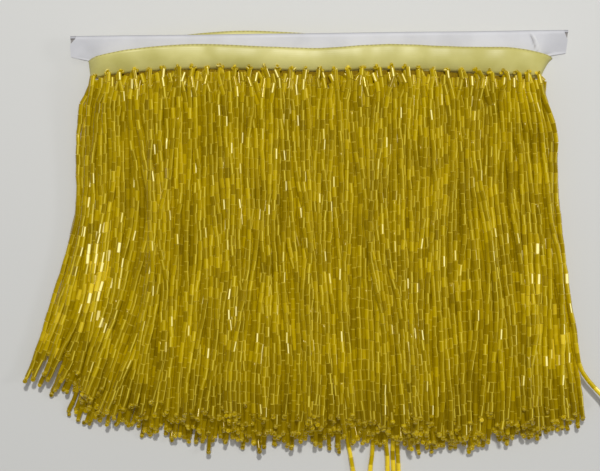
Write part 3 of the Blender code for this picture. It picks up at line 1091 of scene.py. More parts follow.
    def lay(self) -> None:
        """Draws the strands, settles them and threads their beads."""
        rows, ys = self.draft()
        x = np.array([row["x"] for row in rows])
        z = np.array([row["z"] for row in rows])
        down = np.array([row["down"] for row in rows])
        length = np.array([row["length"] for row in rows])[:, None]
        slope = np.gradient(x, axis=1) / self.step
        run = np.cumsum(np.sqrt(1 + slope**2) * self.step * (down > 0), axis=1)
        here = (down > -self.step) & (run < length + self.step)
        lowest = np.full(x.shape, self.bead_width / 2)
        highest = np.full(x.shape, 1.0)
        front = np.array([row["turn"].side is Side.FRONT for row in rows])[:, None]
        slipped = np.array([row["turn"].slipped for row in rows])[:, None]
        lift, bulge = self.plan.lift(self.plan.slipped_turns), self.plan.bulge(self.plan.slipped_turns)
        over = self.plan.card_z + lift + bulge + self.front_clear
        under = self.plan.card_z - lift - bulge - self.back_clear
        lowest = np.where(front & ~slipped & (ys > self.front_clear_to), over, lowest)
        highest = np.where(~front & ~slipped & (ys > self.back_clear_to), under, highest)
        root_z = np.array([row["root"][2] for row in rows])[:, None]
        at_root = down < self.held_run
        lowest = np.where(at_root, root_z, lowest)
        highest = np.where(at_root, root_z, highest)
        loose = smooth(down / self.loose_run) * here
        drape = Drape(x, z, loose, here, lowest, highest, self.bead_width * self.squeeze)
        drape.settle()
        chance = np.random.default_rng(self.seed + 2)
        for i, row in enumerate(rows):
            joints = self.joints(row, drape.across[i], ys, drape.height[i])
            self.strands.append(Strand(row["turn"], row["stitch_x"], joints, chance.normal(0, 1)))
        crest = np.where(here, drape.height, 0).max() + self.bead_width / 2
        log.info("pile: %d strands, %.1f mm high", len(rows), crest / MM)

    def joints(self, row: dict, x: np.ndarray, y: np.ndarray, z: np.ndarray) -> np.ndarray:
        """Returns points a bead's length apart along a strand.

        Args:
            row: The strand's row.
            x: Its place across at each station.
            y: The stations.
            z: Its height at each station.

        Returns:
            One point for each joint.
        """
        steps = np.sqrt(np.diff(x) ** 2 + np.diff(y) ** 2 + np.diff(z) ** 2)
        run = np.concatenate(([0], np.cumsum(steps)))
        first = np.interp(-row["root"][1], -y, run)
        at = first + np.arange(0, row["length"] + row["pitch"] / 2, row["pitch"])
        return np.stack([np.interp(at, run, values) for values in (x, y, z)], axis=1)


# Heading


@dataclass
class Heading:
    """The satin ribbon, wound six times round the card as one continuous strip."""

    plan: Plan
    finish: SatinFinish
    thickness: float = 0.28 * MM
    straight_stations: int = 72
    end_stations: int = 8
    rows: int = 8
    cup: float = 1.2 * MM
    crest: float = 0.62
    curl_share: float = 0.5
    tilt_left: float = 2.8 * MM
    dent: float = 0.22 * MM
    scallop: float = 0.22 * MM
    tilt_from: float = 45 * MM
    tilt_run: float = 50 * MM
    still_run: float = 9 * MM
    ripples: Table = table(
        "x size width lean",
        (-53.5, 0.5, 2.6, 0.1), (-28.0, 0.3, 2.2, -0.1), (33.0, 0.3, 4.0, 0.3),
        (62.0, 0.25, 3.0, -0.2),
    )
    dents: Waves = field(default_factory=lambda: Waves(5, 9, (11 * MM, 45 * MM), (40 * MM, 120 * MM)))

    def half_turns(self) -> list[Turn]:
        """Returns the half turns in the order that they are wound, from the inside."""
        return sorted(TURNS, key=lambda turn: (turn.number, turn.side is Side.BACK))

    def end_arc(self, inner: Turn, outer: Turn, share: float) -> tuple[float, float]:
        """Returns a place on the ribbon's way round one end of the card.

        Args:
            inner: The half turn before the end.
            outer: The half turn after it.
            share: How far round the end, 0 to 1.

        Returns:
            x and height above the card's middle plane.
        """
        plan = self.plan
        lift = plan.lift(inner.number) + (plan.lift(outer.number) - plan.lift(inner.number)) * share
        half = plan.half_length(inner.number)
        half += (plan.half_length(outer.number) - half) * share
        angle = math.pi * share
        end = 1 if inner.side is Side.FRONT else -1
        x = end * (half - lift + lift * math.sin(angle))
        return x, inner.side.value * lift * math.cos(angle)

    def way(self) -> list[tuple[float, float, Turn, Turn, float]]:
        """Lays out the ribbon's way round the card.

        Returns:
            Its stations: x, height, the two half turns that each lies between, and the share of
            the way from the first to the second.
        """
        plan = self.plan
        stations = []
        halves = self.half_turns()
        for i, turn in enumerate(halves):
            side = turn.side.value
            straight = plan.half_length(turn.number) - plan.lift(turn.number)
            for k in range(self.straight_stations):
                share = 2 * k / self.straight_stations - 1
                height = plan.lift(turn.number) + plan.bulge(turn.number) * (1 - share**2)
                stations.append((side * straight * share, side * height, turn, turn, 0.0))
            if i + 1 < len(halves):
                for k in range(self.end_stations):
                    share = k / self.end_stations
                    x, height = self.end_arc(turn, halves[i + 1], share)
                    stations.append((x, height, turn, halves[i + 1], share))
        return stations

    def rise(self, turn: Turn, across: float, x: float, y: float) -> float:
        """Returns how far a turn stands off its own level.

        Args:
            turn: The half turn.
            across: Place across the ribbon, 0 at the lower edge and 1 at the upper.
            x: Place along the card.
            y: Place down the card.

        Returns:
            The distance, which falls away towards the lower edge.
        """
        rise = 0.0
        if turn.number == self.plan.turns:
            rise = self.cup * (1 - ((across - self.crest) / self.crest) ** 2)
            rise += self.tilt_left * across * float(smooth((-x - self.tilt_from) / self.tilt_run))
            rise += self.dent * float(self.dents.at(np.array(x), np.array(y)))
            for ripple in self.ripples:
                off = (x - ripple["x"] * MM - ripple["lean"] * y) / (ripple["width"] * MM)
                rise += ripple["size"] * MM * math.exp(-off * off) * across
        rise -= self.plan.curl(turn, x) * max(0.0, 1 - across / self.curl_share) ** 2
        return rise * float(smooth((self.plan.outer_half_length - abs(x)) / self.still_run))

    def surface(self, turn: Turn, x: float, across: float) -> tuple[float, float]:
        """Returns y and z on a turn's outer face.

        Args:
            turn: The half turn.
            x: Place along the card.
            across: Place across the ribbon, 0 at the lower edge.

        Returns:
            y and z in the roll's plan.
        """
        lower, upper = self.plan.edges_at(turn, x)
        y = lower + (upper - lower) * across
        height = self.plan.stand(turn.number, x)
        height += self.rise(turn, across, x, y) + self.thickness / 2
        return y, self.plan.card_z + turn.side.value * height

    def make(self) -> bpy.types.Object:
        """Makes the ribbon as a sheet of its real length.

        Returns:
            The ribbon's piece.
        """
        plan = self.plan
        way = self.way()
        last = len(way) - 1
        bm = bmesh.new()
        bm.loops.layers.uv.new("cloth")
        bmesh.ops.create_grid(bm, x_segments=last, y_segments=self.rows, size=0.5, calc_uvs=True)
        xs = np.array([station[0] for station in way])
        heights = np.array([station[1] for station in way])
        length = float(np.hypot(np.diff(xs), np.diff(heights)).sum())
        lower, upper = np.zeros(len(way)), np.zeros(len(way))
        for k, (x, _, turn, following, share) in enumerate(way):
            eased = float(smooth(share))
            here, then = plan.edges_at(turn, x), plan.edges_at(following, x)
            lower[k] = here[0] + (then[0] - here[0]) * eased
            upper[k] = here[1] + (then[1] - here[1]) * eased
        for vert in bm.verts:
            k = int(round((vert.co.x + 0.5) * last))
            across = vert.co.y + 0.5
            turn, share = way[k][2], way[k][4]
            flat = share == 0
            y = lower[k] + (upper[k] - lower[k]) * across
            y += self.scallop * (1 - across) ** 3 * abs(math.sin(math.pi * xs[k] / plan.stitch_pitch))
            z = heights[k]
            if flat:
                z += turn.side.value * self.rise(turn, across, xs[k], y)
            vert.co = (xs[k] - plan.taper(xs[k], across), y, plan.card_z + z)
        bmesh.ops.recalc_face_normals(bm, faces=bm.faces)
        bmesh.ops.solidify(bm, geom=bm.faces, thickness=self.thickness)
        mesh = plan.place(made_mesh(bm, "satin_ribbon"))
        ribbon = add_piece(mesh, "ribbon", "heading", self.finish.build(length, plan.ribbon_width))
        log.info("ribbon: %.2f m long, %d faces", length, len(mesh.polygons))
        return ribbon


# Beads


@dataclass
class BeadShape:
    """A small closed shape about z, made once and repeated along the strands as one joined mesh.

    around is each point's share of the way round from the painted light line, 0 to 1, and along its
    place between the bead's two ends, -1 to 1. Edges that turn by more than sharp_from degrees are sharp.
    """

    points: np.ndarray
    faces: np.ndarray
    around: np.ndarray
    along: np.ndarray
    sharp_from: float

    @classmethod
    def from_bmesh(cls, bm: bmesh.types.BMesh, sharp_from: float) -> BeadShape:
        """Reads a triangulated copy of a shape.

        Args:
            bm: The shape, which is freed.
            sharp_from: The angle, in degrees, from which its edges are sharp.

        Returns:
            The shape's arrays.
        """
        bmesh.ops.triangulate(bm, faces=bm.faces)
        bm.verts.index_update()
        points = np.array([v.co for v in bm.verts])
        faces = np.array([[v.index for v in f.verts] for f in bm.faces])
        around = np.abs(np.arctan2(points[:, 1], points[:, 0])) / np.pi
        along = points[:, 2] / np.abs(points[:, 2]).max()
        bm.free()
        return cls(points, faces, around, along, sharp_from)

    def repeat(self, name: str, places: Places) -> bpy.types.Mesh:
        """Returns one mesh with the shape at every place.

        Args:
            name: The mesh's name.
            places: Centres, directions, sizes and looks.

        Returns:
            The joined mesh, with the point attributes that the glass reads.
        """
        count, corners = len(places.centres), len(self.points)
        side, up = places.cross_axes()
        local = self.points[None] * places.scales[:, None, :]
        points = (
            places.centres[:, None]
            + local[:, :, 0:1] * side[:, None]
            + local[:, :, 1:2] * up[:, None]
            + local[:, :, 2:3] * places.axes[:, None]
        )
        faces = self.faces[None] + np.arange(count)[:, None, None] * corners
        mesh = bpy.data.meshes.new(name)
        mesh.from_pydata(points.reshape(-1, 3), [], faces.reshape(-1, 3))
        mesh.shade_smooth()
        mesh.set_sharp_from_angle(angle=math.radians(self.sharp_from))
        looks = {
            "tone": np.repeat(places.tones, corners),
            "light": np.repeat(places.lights, corners),
            "cut": np.repeat(places.cuts, corners),
            "around": np.tile(self.around, count) * np.repeat(places.spreads, corners),
            "along": np.tile(self.along, count),
        }
        for look, values in looks.items():
            layer = mesh.attributes.new(look, "FLOAT", "POINT")
            layer.data.foreach_set("value", values.astype(np.float32))
        return mesh


@dataclass
class Places:
    """Where the beads of one piece lie, and how each looks.

    A bead's painted light line is one over its spread wider than the finish says.
    """

    centres: np.ndarray
    axes: np.ndarray
    rolls: np.ndarray
    scales: np.ndarray
    tones: np.ndarray
    lights: np.ndarray
    cuts: np.ndarray
    spreads: np.ndarray

    def cross_axes(self) -> tuple[np.ndarray, np.ndarray]:
        """Works out two unit axes across each bead.

        Returns:
            The two axes, turned by the beads' rolls.
        """
        upright = np.abs(self.axes[:, 2:3]) > 0.9
        reference = np.where(upright, [[0.0, 1.0, 0.0]], [[0.0, 0.0, 1.0]])
        side = np.cross(self.axes, reference)
        side /= np.linalg.norm(side, axis=1, keepdims=True)
        up = np.cross(side, self.axes)
        cosine, sine = np.cos(self.rolls)[:, None], np.sin(self.rolls)[:, None]
        return side * cosine - up * sine, side * sine + up * cosine

    @classmethod
    def joined(cls, parts: list[Places]) -> Places:
        """Returns several lots of places as one."""
        names = [part.name for part in fields(cls)]
        return cls(*[np.concatenate([getattr(part, name) for part in parts]) for name in names])


@dataclass(frozen=True)
class BugleBead:
    """A cut glass tube about twice as long as it is wide."""

    radius: float = 1.1 * MM
    length: float = 4.4 * MM
    rim: float = 0.12 * MM
    rim_radius: float = 0.84
    sides: int = 8

    def shape(self, detail: Detail) -> BeadShape:
        """Makes the bead.

        Args:
            detail: How finely. A fine bead has polished rims.

        Returns:
            The bead's shape.
        """
        bm = bmesh.new()
        sides = self.sides if detail is Detail.FINE else self.sides - 2
        bmesh.ops.create_cone(
            bm,
            cap_ends=True,
            segments=sides,
            radius1=self.radius,
            radius2=self.radius,
            depth=self.length,
        )
        if detail is Detail.FINE:
            caps = [f for f in bm.faces if abs(f.normal.z) > 0.9]
            for cap in caps:
                way = math.copysign(1, cap.normal.z)
                bmesh.ops.translate(bm, verts=cap.verts, vec=(0, 0, -way * self.rim))
                made = bmesh.ops.extrude_face_region(bm, geom=[cap])
                moved = [v for v in made["geom"] if isinstance(v, bmesh.types.BMVert)]
                bmesh.ops.scale(bm, verts=moved, vec=(self.rim_radius, self.rim_radius, 1))
                bmesh.ops.translate(bm, verts=moved, vec=(0, 0, way * self.rim))
                bmesh.ops.delete(bm, geom=[cap], context="FACES_ONLY")
            bmesh.ops.recalc_face_normals(bm, faces=bm.faces)
        return BeadShape.from_bmesh(bm, sharp_from=180 / sides * 2 + 5)


@dataclass(frozen=True)
class SeedBead:
    """A small round bead with a hole through it.

    wall and height are how much thinner and taller its ring is than a round tube.
    """

    radius: float = 1.0 * MM
    tube: float = 0.62 * MM
    wall: float = 0.75
    height: float = 1.25
    sides: int = 8
    ring_sides: int = 5
    line_spread: float = 0.4

    def shape(self) -> BeadShape:
        """Makes the bead.

        Returns:
            Its shape, a ring about z.
        """
        bm = bmesh.new()
        ring = bmesh.ops.create_circle(bm, segments=self.ring_sides, radius=self.tube)["verts"]
        bmesh.ops.rotate(bm, verts=ring, matrix=Matrix.Rotation(math.pi / 2, 3, "X"))
        bmesh.ops.scale(bm, verts=ring, vec=(self.wall, 1, self.height))
        bmesh.ops.translate(bm, verts=ring, vec=(self.radius - self.tube * self.wall, 0, 0))
        bmesh.ops.spin(
            bm,
            geom=ring + list(bm.edges),
            cent=(0, 0, 0),
            axis=(0, 0, 1),
            angle=2 * math.pi,
            steps=self.sides,
            use_merge=True,
        )
        bmesh.ops.remove_doubles(bm, verts=bm.verts, dist=0.01 * MM)
        bmesh.ops.recalc_face_normals(bm, faces=bm.faces)
        shape = BeadShape.from_bmesh(bm, sharp_from=180)
        out = np.hypot(shape.points[:, 0], shape.points[:, 1]) - self.radius + self.tube * self.wall
        shape.around = self.line_spread * np.abs(np.arctan2(shape.points[:, 2], out)) / np.pi
        shape.along[:] = 0.0
        return shape


@dataclass
class BeadWork:
    """Threads the beads on the strands and makes the fringe's pieces."""

    pile: Pile
    heading: Heading
    finish: bpy.types.Material
    thread: bpy.types.Material
    thread_top: float = 0.4 * MM
    thread_drop: float = 5.6 * MM
    thread_reach: float = 0.955
    thread_lift: float = 0.4 * MM
    thread_thickness: float = 0.3 * MM
    thread_grid: tuple[int, int] = (160, 4)
    play: float = 0.12 * MM
    stitch_scale: float = 0.8
    stitch_rows: Table = table(
        "x across",
        (-0.75, 0.09), (0.75, 0.09), (0.0, 0.16),
    )
    stitched_turns: tuple[int, ...] = (6,)
    stitch_lift: float = 0.7 * MM
    stitch_tone: float = 0.6
    stitch_light: float = 0.7
    stitch_play: tuple[float, float] = (0.2, 0.03)
    stitch_way: tuple[float, float, float] = (0, 0.4, 0.9)
    end_size: float = 1.1
    # The end beads' low tone is partly painted shade at the strands' ends.
    end_tone: float = 0.4
    end_light: float = 0.3
    end_steps: tuple[float, float] = (0.55, 1.5)
    end_play: float = 0.35
    end_rest: float = 1.2
    end_turn: float = 0.6
    seed_spread: float = 0.05
    seed_look: float = 0.18
    fatness: tuple[float, float] = (0.98, 0.03)
    thinnest: float = 0.9
    longness: tuple[float, float] = (0.995, 0.015)
    shortest: float = 0.93
    tone: float = 0.52
    strand_tone: float = 0.04
    bead_tone: float = 0.115
    patch_tone: float = 0.07
    # Painted highlights: the light line along each bead and the ring at its cut ends.
    light: float = 0.34
    light_spread: float = 0.28
    # Range of the painted glints' random strength.
    sparkle: tuple[float, float] = (0.3, 1.2)
    cut_light: float = 0.7
    cut_power: float = 1.5
    line_lean: float = 34.0
    line_spread: float = 22.0
    line_run: float = 0.12
    # Painted highlight on the first beads below the ribbon: a glint on the first and a lighter tone on the
    # first few.
    root_gleam: float = 0.32
    root_tone: float = 0.1
    root_beads: int = 3
    # The painted light line's least strength, and how often and how wide painted glints light a bead whole.
    soft_line: float = 0.31
    full_share: float = 0.32
    full_spread: float = 0.45
    plain_tone: float = 0.8
    # Painted shade over the last beads of each strand.
    end_shade: float = 0.36
    end_beads: int = 6
    # Patches of painted glints: place, size, and how much each raises the light line and the tone.
    painted_glints: Table = table(
        "x y width height strength tone",
        (-98.0, -96.0, 7.0, 20.0, 0.45, 0.3), (-104.0, -114.0, 7.0, 12.0, 0.5, 0.3),
        (-120.0, -135.0, 10.0, 24.0, 0.05, 0.25), (95.0, -98.0, 6.0, 20.0, 0.25, 0.2),
        (105.0, -140.0, 9.0, 30.0, 0.1, 0.3), (122.0, -158.0, 8.0, 12.0, 0.1, 0.8),
        (24.0, -194.0, 24.0, 10.0, 0.1, 1.3),
    )
    patches: Waves = field(default_factory=lambda: Waves(17, 12, (9 * MM, 60 * MM), (25 * MM, 120 * MM)))
    seed: int = 97

    def along_strand(self, count: int, chance: np.random.Generator) -> np.ndarray:
        """Draws a number for each bead that runs on a little from bead to bead.

        Args:
            count: How many beads.
            chance: Random draws.

        Returns:
            The numbers, of mean 0 and spread 1.
        """
        values = chance.normal(0, 1, count)
        for k in range(1, count):
            values[k] = self.line_run * values[k - 1] + math.sqrt(1 - self.line_run**2) * values[k]
        return values

    def bugle_places(self, strand: Strand, chance: np.random.Generator) -> Places:
        """Places one strand's bugle beads.

        Args:
            strand: The strand.
            chance: Random draws.

        Returns:
            Where the beads lie, and how each looks.
        """
        joints = strand.joints + chance.normal(0, self.play, strand.joints.shape)
        joints[:, 2] = np.maximum(joints[:, 2], self.pile.bead_width / 2)
        along = joints[1:] - joints[:-1]
        lengths = np.linalg.norm(along, axis=1, keepdims=True)
        centres = (joints[1:] + joints[:-1]) / 2
        count = len(along)
        fat = np.clip(chance.normal(*self.fatness, (count, 1)), self.thinnest, 1.0)
        long = np.clip(chance.normal(*self.longness, (count, 1)), self.shortest, 1.0)
        long = long * lengths / self.pile.bead_pitch
        tones = self.tone + self.strand_tone * strand.tone + self.bead_tone * chance.normal(0, 1, count)
        tones += self.patch_tone * self.patches.at(centres[:, 0], centres[:, 1])
        # Painted shade: the last beads of each strand are darker.
        tones -= self.end_shade * smooth((np.arange(count) - count) / self.end_beads + 1)
        # Painted highlight: the first beads below the ribbon are lighter.
        tones[: self.root_beads] += self.root_tone * chance.uniform(0, 1, self.root_beads)
        tones = np.clip(tones, 0, self.plain_tone)
        # Strength of each bead's painted light line.
        lights = self.light + self.light_spread * self.along_strand(count, chance)
        # Painted glint on the first bead's light line.
        lights[0] += self.root_gleam
        # Painted glints in patches raise the light line and the tone, and light some beads whole.
        shine = np.zeros(count)
        for gleam in self.painted_glints:
            off = (centres[:, :2] / MM - (gleam["x"], gleam["y"])) / (gleam["width"], gleam["height"])
            near = np.exp(-(off**2).sum(axis=1))
            shine += gleam["strength"] * near
            tones += gleam["tone"] * near * chance.uniform(*self.sparkle, count)
        lights += shine * chance.uniform(*self.sparkle, count)
        full = chance.random(count) < self.full_share * shine
        # The painted light line lies on the same side of every bead, turned by lean.
        lean = np.radians(self.line_lean + self.line_spread * self.along_strand(count, chance))
        return Places(
            centres=centres,
            axes=along / lengths,
            rolls=1.5 * np.pi - lean,
            scales=np.concatenate([fat, fat, long], axis=1),
            tones=np.clip(tones, 0, 1),
            lights=np.where(full, 1.0, self.soft_line + (1 - self.soft_line) * smooth(lights)),
            # Painted highlight at each bead's cut ends.
            cuts=self.cut_light * chance.uniform(0, 1, count) ** self.cut_power,
            spreads=np.where(full, self.full_spread, 1.0),
        )

    def seed_places(
        self,
        centres: np.ndarray,
        axes: np.ndarray,
        scale: float,
        tone: float,
        light: float,
        chance: np.random.Generator,
    ) -> Places:
        """Returns the places of small round beads.

        Args:
            centres: Their centres.
            axes: The ways that their holes run.
            scale: Their mean size.
            tone: Their mean tone.
            light: The mean strength of their painted light lines.
            chance: Random draws.

        Returns:
            Their places.
        """
        count = len(centres)
        return Places(
            centres=centres,
            axes=axes / np.linalg.norm(axes, axis=1, keepdims=True),
            rolls=chance.uniform(0, 2 * np.pi, count),
            scales=np.repeat(scale * chance.normal(1, self.seed_spread, (count, 1)), 3, axis=1),
            tones=np.clip(tone + self.seed_look * chance.normal(0, 1, count), 0, 1),
            lights=np.clip(light + self.seed_look * chance.normal(0, 1, count), 0, 1),
            cuts=np.zeros(count),
            spreads=np.ones(count),
        )

    def end_places(self, strand: Strand, chance: np.random.Generator) -> Places:
        """Places the two beads that end a strand: one in line, one turned by its knot.

        Args:
            strand: The strand.
            chance: Random draws.

        Returns:
            Their places.
        """
        last = strand.joints[-1]
        along = last - strand.joints[-2]
        along = along / np.linalg.norm(along)
        centres = last + np.array(self.end_steps)[:, None] * MM * along
        centres[1] += chance.normal(0, self.end_play, 3) * MM
        centres[:, 2] = np.maximum(centres[:, 2], self.end_size * self.end_rest * MM)
        axes = np.array([along, chance.normal(0, self.end_turn, 3) + (0, 0, 1)])
        return self.seed_places(centres, axes, self.end_size, self.end_tone, self.end_light, chance)

    def stitch_places(self, chance: np.random.Generator) -> Places:
        """Places the small beads of the stitches on the ribbon's lower edge.

        Args:
            chance: Random draws.

        Returns:
            Their places.
        """
        stitches = {(s.turn, s.stitch_x) for s in self.pile.strands if s.turn.number in self.stitched_turns}
        centres = []
        along, across = self.stitch_play
        for turn, stitch_x in sorted(stitches, key=lambda place: (place[0].level, place[1])):
            for row in self.stitch_rows:
                x = stitch_x + (row["x"] + chance.normal(0, along)) * MM
                y, z = self.heading.surface(turn, x, row["across"] + chance.normal(0, across))
                centres.append((x, y, z + turn.side.value * self.stitch_lift * self.stitch_scale))
        axes = chance.normal(0, 1, (len(centres), 3)) + self.stitch_way
        looks = (self.stitch_scale, self.stitch_tone, self.stitch_light)
        return self.seed_places(np.array(centres), axes, *looks, chance)

    def make(self) -> None:
        """Makes one piece for each turn that shows, and one for each pair of hidden ones."""
        chance = np.random.default_rng(self.seed)
        bugle = BugleBead()
        shapes = {detail: bugle.shape(detail) for detail in Detail}
        seed_shape = SeedBead().shape()
        lots: dict[str, list[Strand]] = {}
        for strand in self.pile.strands:
            turn = strand.turn
            key = f"{turn.node}_{turn.name}" if turn.detail is Detail.FINE else turn.node
            lots.setdefault(key, []).append(strand)
        ends = []
        for name, strands in lots.items():
            turn = strands[0].turn
            places = Places.joined([self.bugle_places(strand, chance) for strand in strands])
            ends += [self.end_places(strand, chance) for strand in strands]
            self.add_beads(name + "_beads", shapes[turn.detail], places, turn.node)
        self.add_beads("end_beads", seed_shape, Places.joined(ends))
        self.add_beads("stitch_beads", seed_shape, self.stitch_places(chance))
        for side in Side:
            self.add_stitching(side)

    def add_beads(self, name: str, shape: BeadShape, places: Places, node: str | None = None) -> None:
        """Adds one piece of beads.

        Args:
            name: The piece's name.
            shape: The bead.
            places: Where each bead lies, and how it looks.
            node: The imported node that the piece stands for, if any.
        """
        mesh = self.pile.plan.place(shape.repeat(name, places))
        add_piece(mesh, "beads", node, self.finish)
        log.info("%s: %d beads, %d triangles", name, len(places.centres), len(mesh.polygons))

    def add_stitching(self, side: Side) -> None:
        """Adds the thread work under the outer turns' lower edges, which holds their strands. Its dark
        colour is painted shade, for the shade under those edges.

        Args:
            side: The side of the card.
        """
        plan = self.pile.plan
        turn = next(t for t in TURNS if t.number == plan.turns - 1 and t.side is side)
        bm = bmesh.new()
        columns, rows = self.thread_grid
        bmesh.ops.create_grid(bm, x_segments=columns, y_segments=rows, size=0.5)
        for vert in bm.verts:
            x = 2 * vert.co.x * plan.strand_half_length * self.thread_reach
            x -= plan.taper(x, 0.0)
            across = 0.5 - vert.co.y
            y = plan.edges_at(turn, x)[0] + self.thread_top - across * self.thread_drop
            height = plan.stand(plan.slipped_turns, x) + self.thread_lift
            vert.co = (x, y, plan.card_z + side.value * height)
        bmesh.ops.recalc_face_normals(bm, faces=bm.faces)
        bmesh.ops.solidify(bm, geom=bm.faces, thickness=self.thread_thickness)
        mesh = plan.place(made_mesh(bm, f"{side.name.lower()}_stitching"))
        add_piece(mesh, "beads", None, self.thread)
        log.info("%s: %d faces", mesh.name, len(mesh.polygons))


# Card


@dataclass
class FoldedCard:
    """The board that the ribbon is wound on: one strip, folded along its top edge.

    Its two leaves end in a tab at each side, with a sloping shoulder under it. The front leaf's
    top corners are clipped, so that the grey inside of the back leaf shows there; that grey is
    partly painted shade.
    """

    plan: Plan
    leaf: float = 1.0 * MM
    fold_radius: float = 1.1 * MM
    height: float = 20.0 * MM
    left_half_length: float = 109.4 * MM
    right_half_length: float = 108.6 * MM
    body_half_length: float = 95.8 * MM
    left_tab: float = 9.2 * MM
    right_tab: float = 10.2 * MM
    shoulder: float = 12.4 * MM
    left_lean: float = 0.3 * MM
    right_lean: float = 1.4 * MM
    left_clip: tuple[float, float] = (2.8 * MM, 3.9 * MM)
    right_clip: tuple[float, float] = (2.0 * MM, 4.5 * MM)
    columns: int = 200
    column_shares: tuple[float, ...] = (0.0, 0.5, 0.92, 1.0)
    width_shares: tuple[float, ...] = (0.0, 0.9, 0.96, 1.0)
    fold_rows: int = 8
    row_downs: tuple[float, ...] = (2.2 * MM, 3.0 * MM, 5.4 * MM, 7.0 * MM, 14.5 * MM, 17.5 * MM)
    wave: float = 0.15 * MM
    waves: Waves = field(default_factory=lambda: Waves(3, 5, (50 * MM, 140 * MM), (30 * MM, 80 * MM)))
    sharp_from: float = 40.0
    inside_from: float = 0.15
    pinch: float = 1.2 * MM
    pinch_start: float = 97.0 * MM
    pinch_run: float = 6.0 * MM
    crease_top_x: float = 91.3 * MM
    crease_foot: tuple[float, float] = (94.6 * MM, -8.0 * MM)
    crease_depth: float = 0.35 * MM
    crease_width: float = 0.95 * MM
    crease_from: dict[str, float] = field(default_factory=lambda: {"y": -11.0 * MM, "run": 4 * MM})
    crease_to: dict[str, float] = field(default_factory=lambda: {"y": -1.6 * MM, "run": 2 * MM})
    ridge_off: float = 2.6
    ridge_share: float = 0.8

    def rows(self) -> list[tuple[float, float, Side]]:
        """Lays out the strip's rows, from the front leaf's lower edge over the fold to the back's.

        Returns:
            Each row's y, height above the middle plane, and leaf.
        """
        corners = (self.left_clip[1], self.right_clip[1], self.left_tab, self.right_tab, self.shoulder)
        downs = sorted((*self.row_downs, *corners, self.height))
        middle = self.fold_radius
        reach = self.fold_radius + self.leaf / 2
        front = [(-down, middle, Side.FRONT) for down in reversed(downs)]
        fold = []
        for k in range(self.fold_rows + 1):
            angle = math.pi * k / self.fold_rows
            side = Side.FRONT if angle < math.pi / 2 else Side.BACK
            y = -reach + self.fold_radius * math.sin(angle)
            fold.append((y, self.fold_radius * math.cos(angle), side))
        back = [(-down, -middle, Side.BACK) for down in downs]
        return front + fold + back

    def end(self, y: float, way: int, leaf: Side) -> float:
        """Returns where a leaf ends at one side, at a height on the card.

        Args:
            y: Height on the card, 0 at the fold and falling.
            way: -1 for the left end and 1 for the right.
            leaf: The leaf.

        Returns:
            x of the leaf's end.
        """
        tab = self.left_tab if way < 0 else self.right_tab
        lean = self.left_lean if way < 0 else self.right_lean
        x = self.left_half_length if way < 0 else self.right_half_length
        x += lean * (0.5 + max(y, -tab) / tab)
        if y < -tab:
            share = min(1.0, (-y - tab) / (self.shoulder - tab))
            x += (self.body_half_length - x) * share
        clip_x, clip_y = self.left_clip if way < 0 else self.right_clip
        if leaf is Side.FRONT and y > -clip_y:
            x -= clip_x * min(1.0, (y + clip_y) / (clip_y - self.fold_radius))
        return way * x

    def crease(self, x: float, y: float) -> tuple[float, float]:
        """Returns how strong the crease is at a place on the front leaf.

        Args:
            x: Place along the card.
            y: Place down the card.

        Returns:
            The shares, 0 to 1, of the groove and of the ridge beside it.
        """
        foot_x, foot_y = self.crease_foot
        way = Vector((-foot_y, foot_x - self.crease_top_x)).normalized()
        off = (Vector((x, y)) - Vector((self.crease_top_x, 0))).dot(way) / self.crease_width
        foot, top = self.crease_from, self.crease_to
        along = float(smooth((y - foot["y"]) / foot["run"])) * float(smooth((top["y"] - y) / top["run"]))
        return along * math.exp(-((2 * off) ** 2)), along * math.exp(-((2 * off - self.ridge_off) ** 2))

    def pinched(self, x: float, y: float) -> float:
        """Returns how far the front leaf leans towards the back one at the tabs."""
        outside = float(smooth((abs(x) - self.pinch_start) / self.pinch_run))
        return self.pinch * outside * min(1.0, max(0.0, -y - self.fold_radius) / self.left_tab)

    def make(self) -> bpy.types.Object:
        """Makes the card as one folded strip and gives it its thickness.

        Returns:
            The card's piece.
        """
        rows = self.rows()
        last = len(rows) - 1
        bm = bmesh.new()
        bmesh.ops.create_grid(bm, x_segments=self.columns, y_segments=last, size=0.5)
        creased = bm.verts.layers.float.new("crease")
        for vert in bm.verts:
            y, height, leaf = rows[int(round((vert.co.y + 0.5) * last))]
            left, right = self.end(y, -1, leaf), self.end(y, 1, leaf)
            share = np.interp(vert.co.x + 0.5, self.column_shares, self.width_shares)
            x = left + (right - left) * float(share)
            groove, ridge = self.crease(x, y) if leaf is Side.FRONT else (0.0, 0.0)
            # The crease attribute carries the groove's painted shade and the ridge's painted highlight.
            vert[creased] = groove - ridge
            if leaf is Side.FRONT:
                height -= self.pinched(x, y)
            height += self.wave * float(self.waves.at(np.array(x), np.array(y)))
            height = self.plan.card_z + height
            vert.co = (x, y, height + self.crease_depth * (self.ridge_share * ridge - groove))
        bmesh.ops.recalc_face_normals(bm, faces=bm.faces)
        top = max(bm.faces, key=lambda face: face.calc_center_median().z)
        if top.normal.z < 0:
            bmesh.ops.reverse_faces(bm, faces=bm.faces)
        outside = list(bm.faces)
        for vert in bm.verts:
            vert.co += vert.normal * self.leaf / 2
        bmesh.ops.solidify(bm, geom=outside, thickness=self.leaf)
        # Faces towards the middle plane take the grey board, partly painted shade.
        for face in bm.faces:
            z = face.calc_center_median().z
            toward_middle = face.normal.z * (self.plan.card_z - z) > 0
            face.material_index = int(toward_middle and abs(face.normal.z) > self.inside_from)
        mesh = self.plan.place(made_mesh(bm, "folded_card"))
        mesh.set_sharp_from_angle(angle=math.radians(self.sharp_from))
        board = BoardFinish("white_lined_board").build(self.plan.y)
        card = add_piece(mesh, "board", "card", board, GreyBoardShadeFinish("grey_board_painted_shade").build())
        log.info("card: %d faces", len(mesh.polygons))
        return card


# Studio


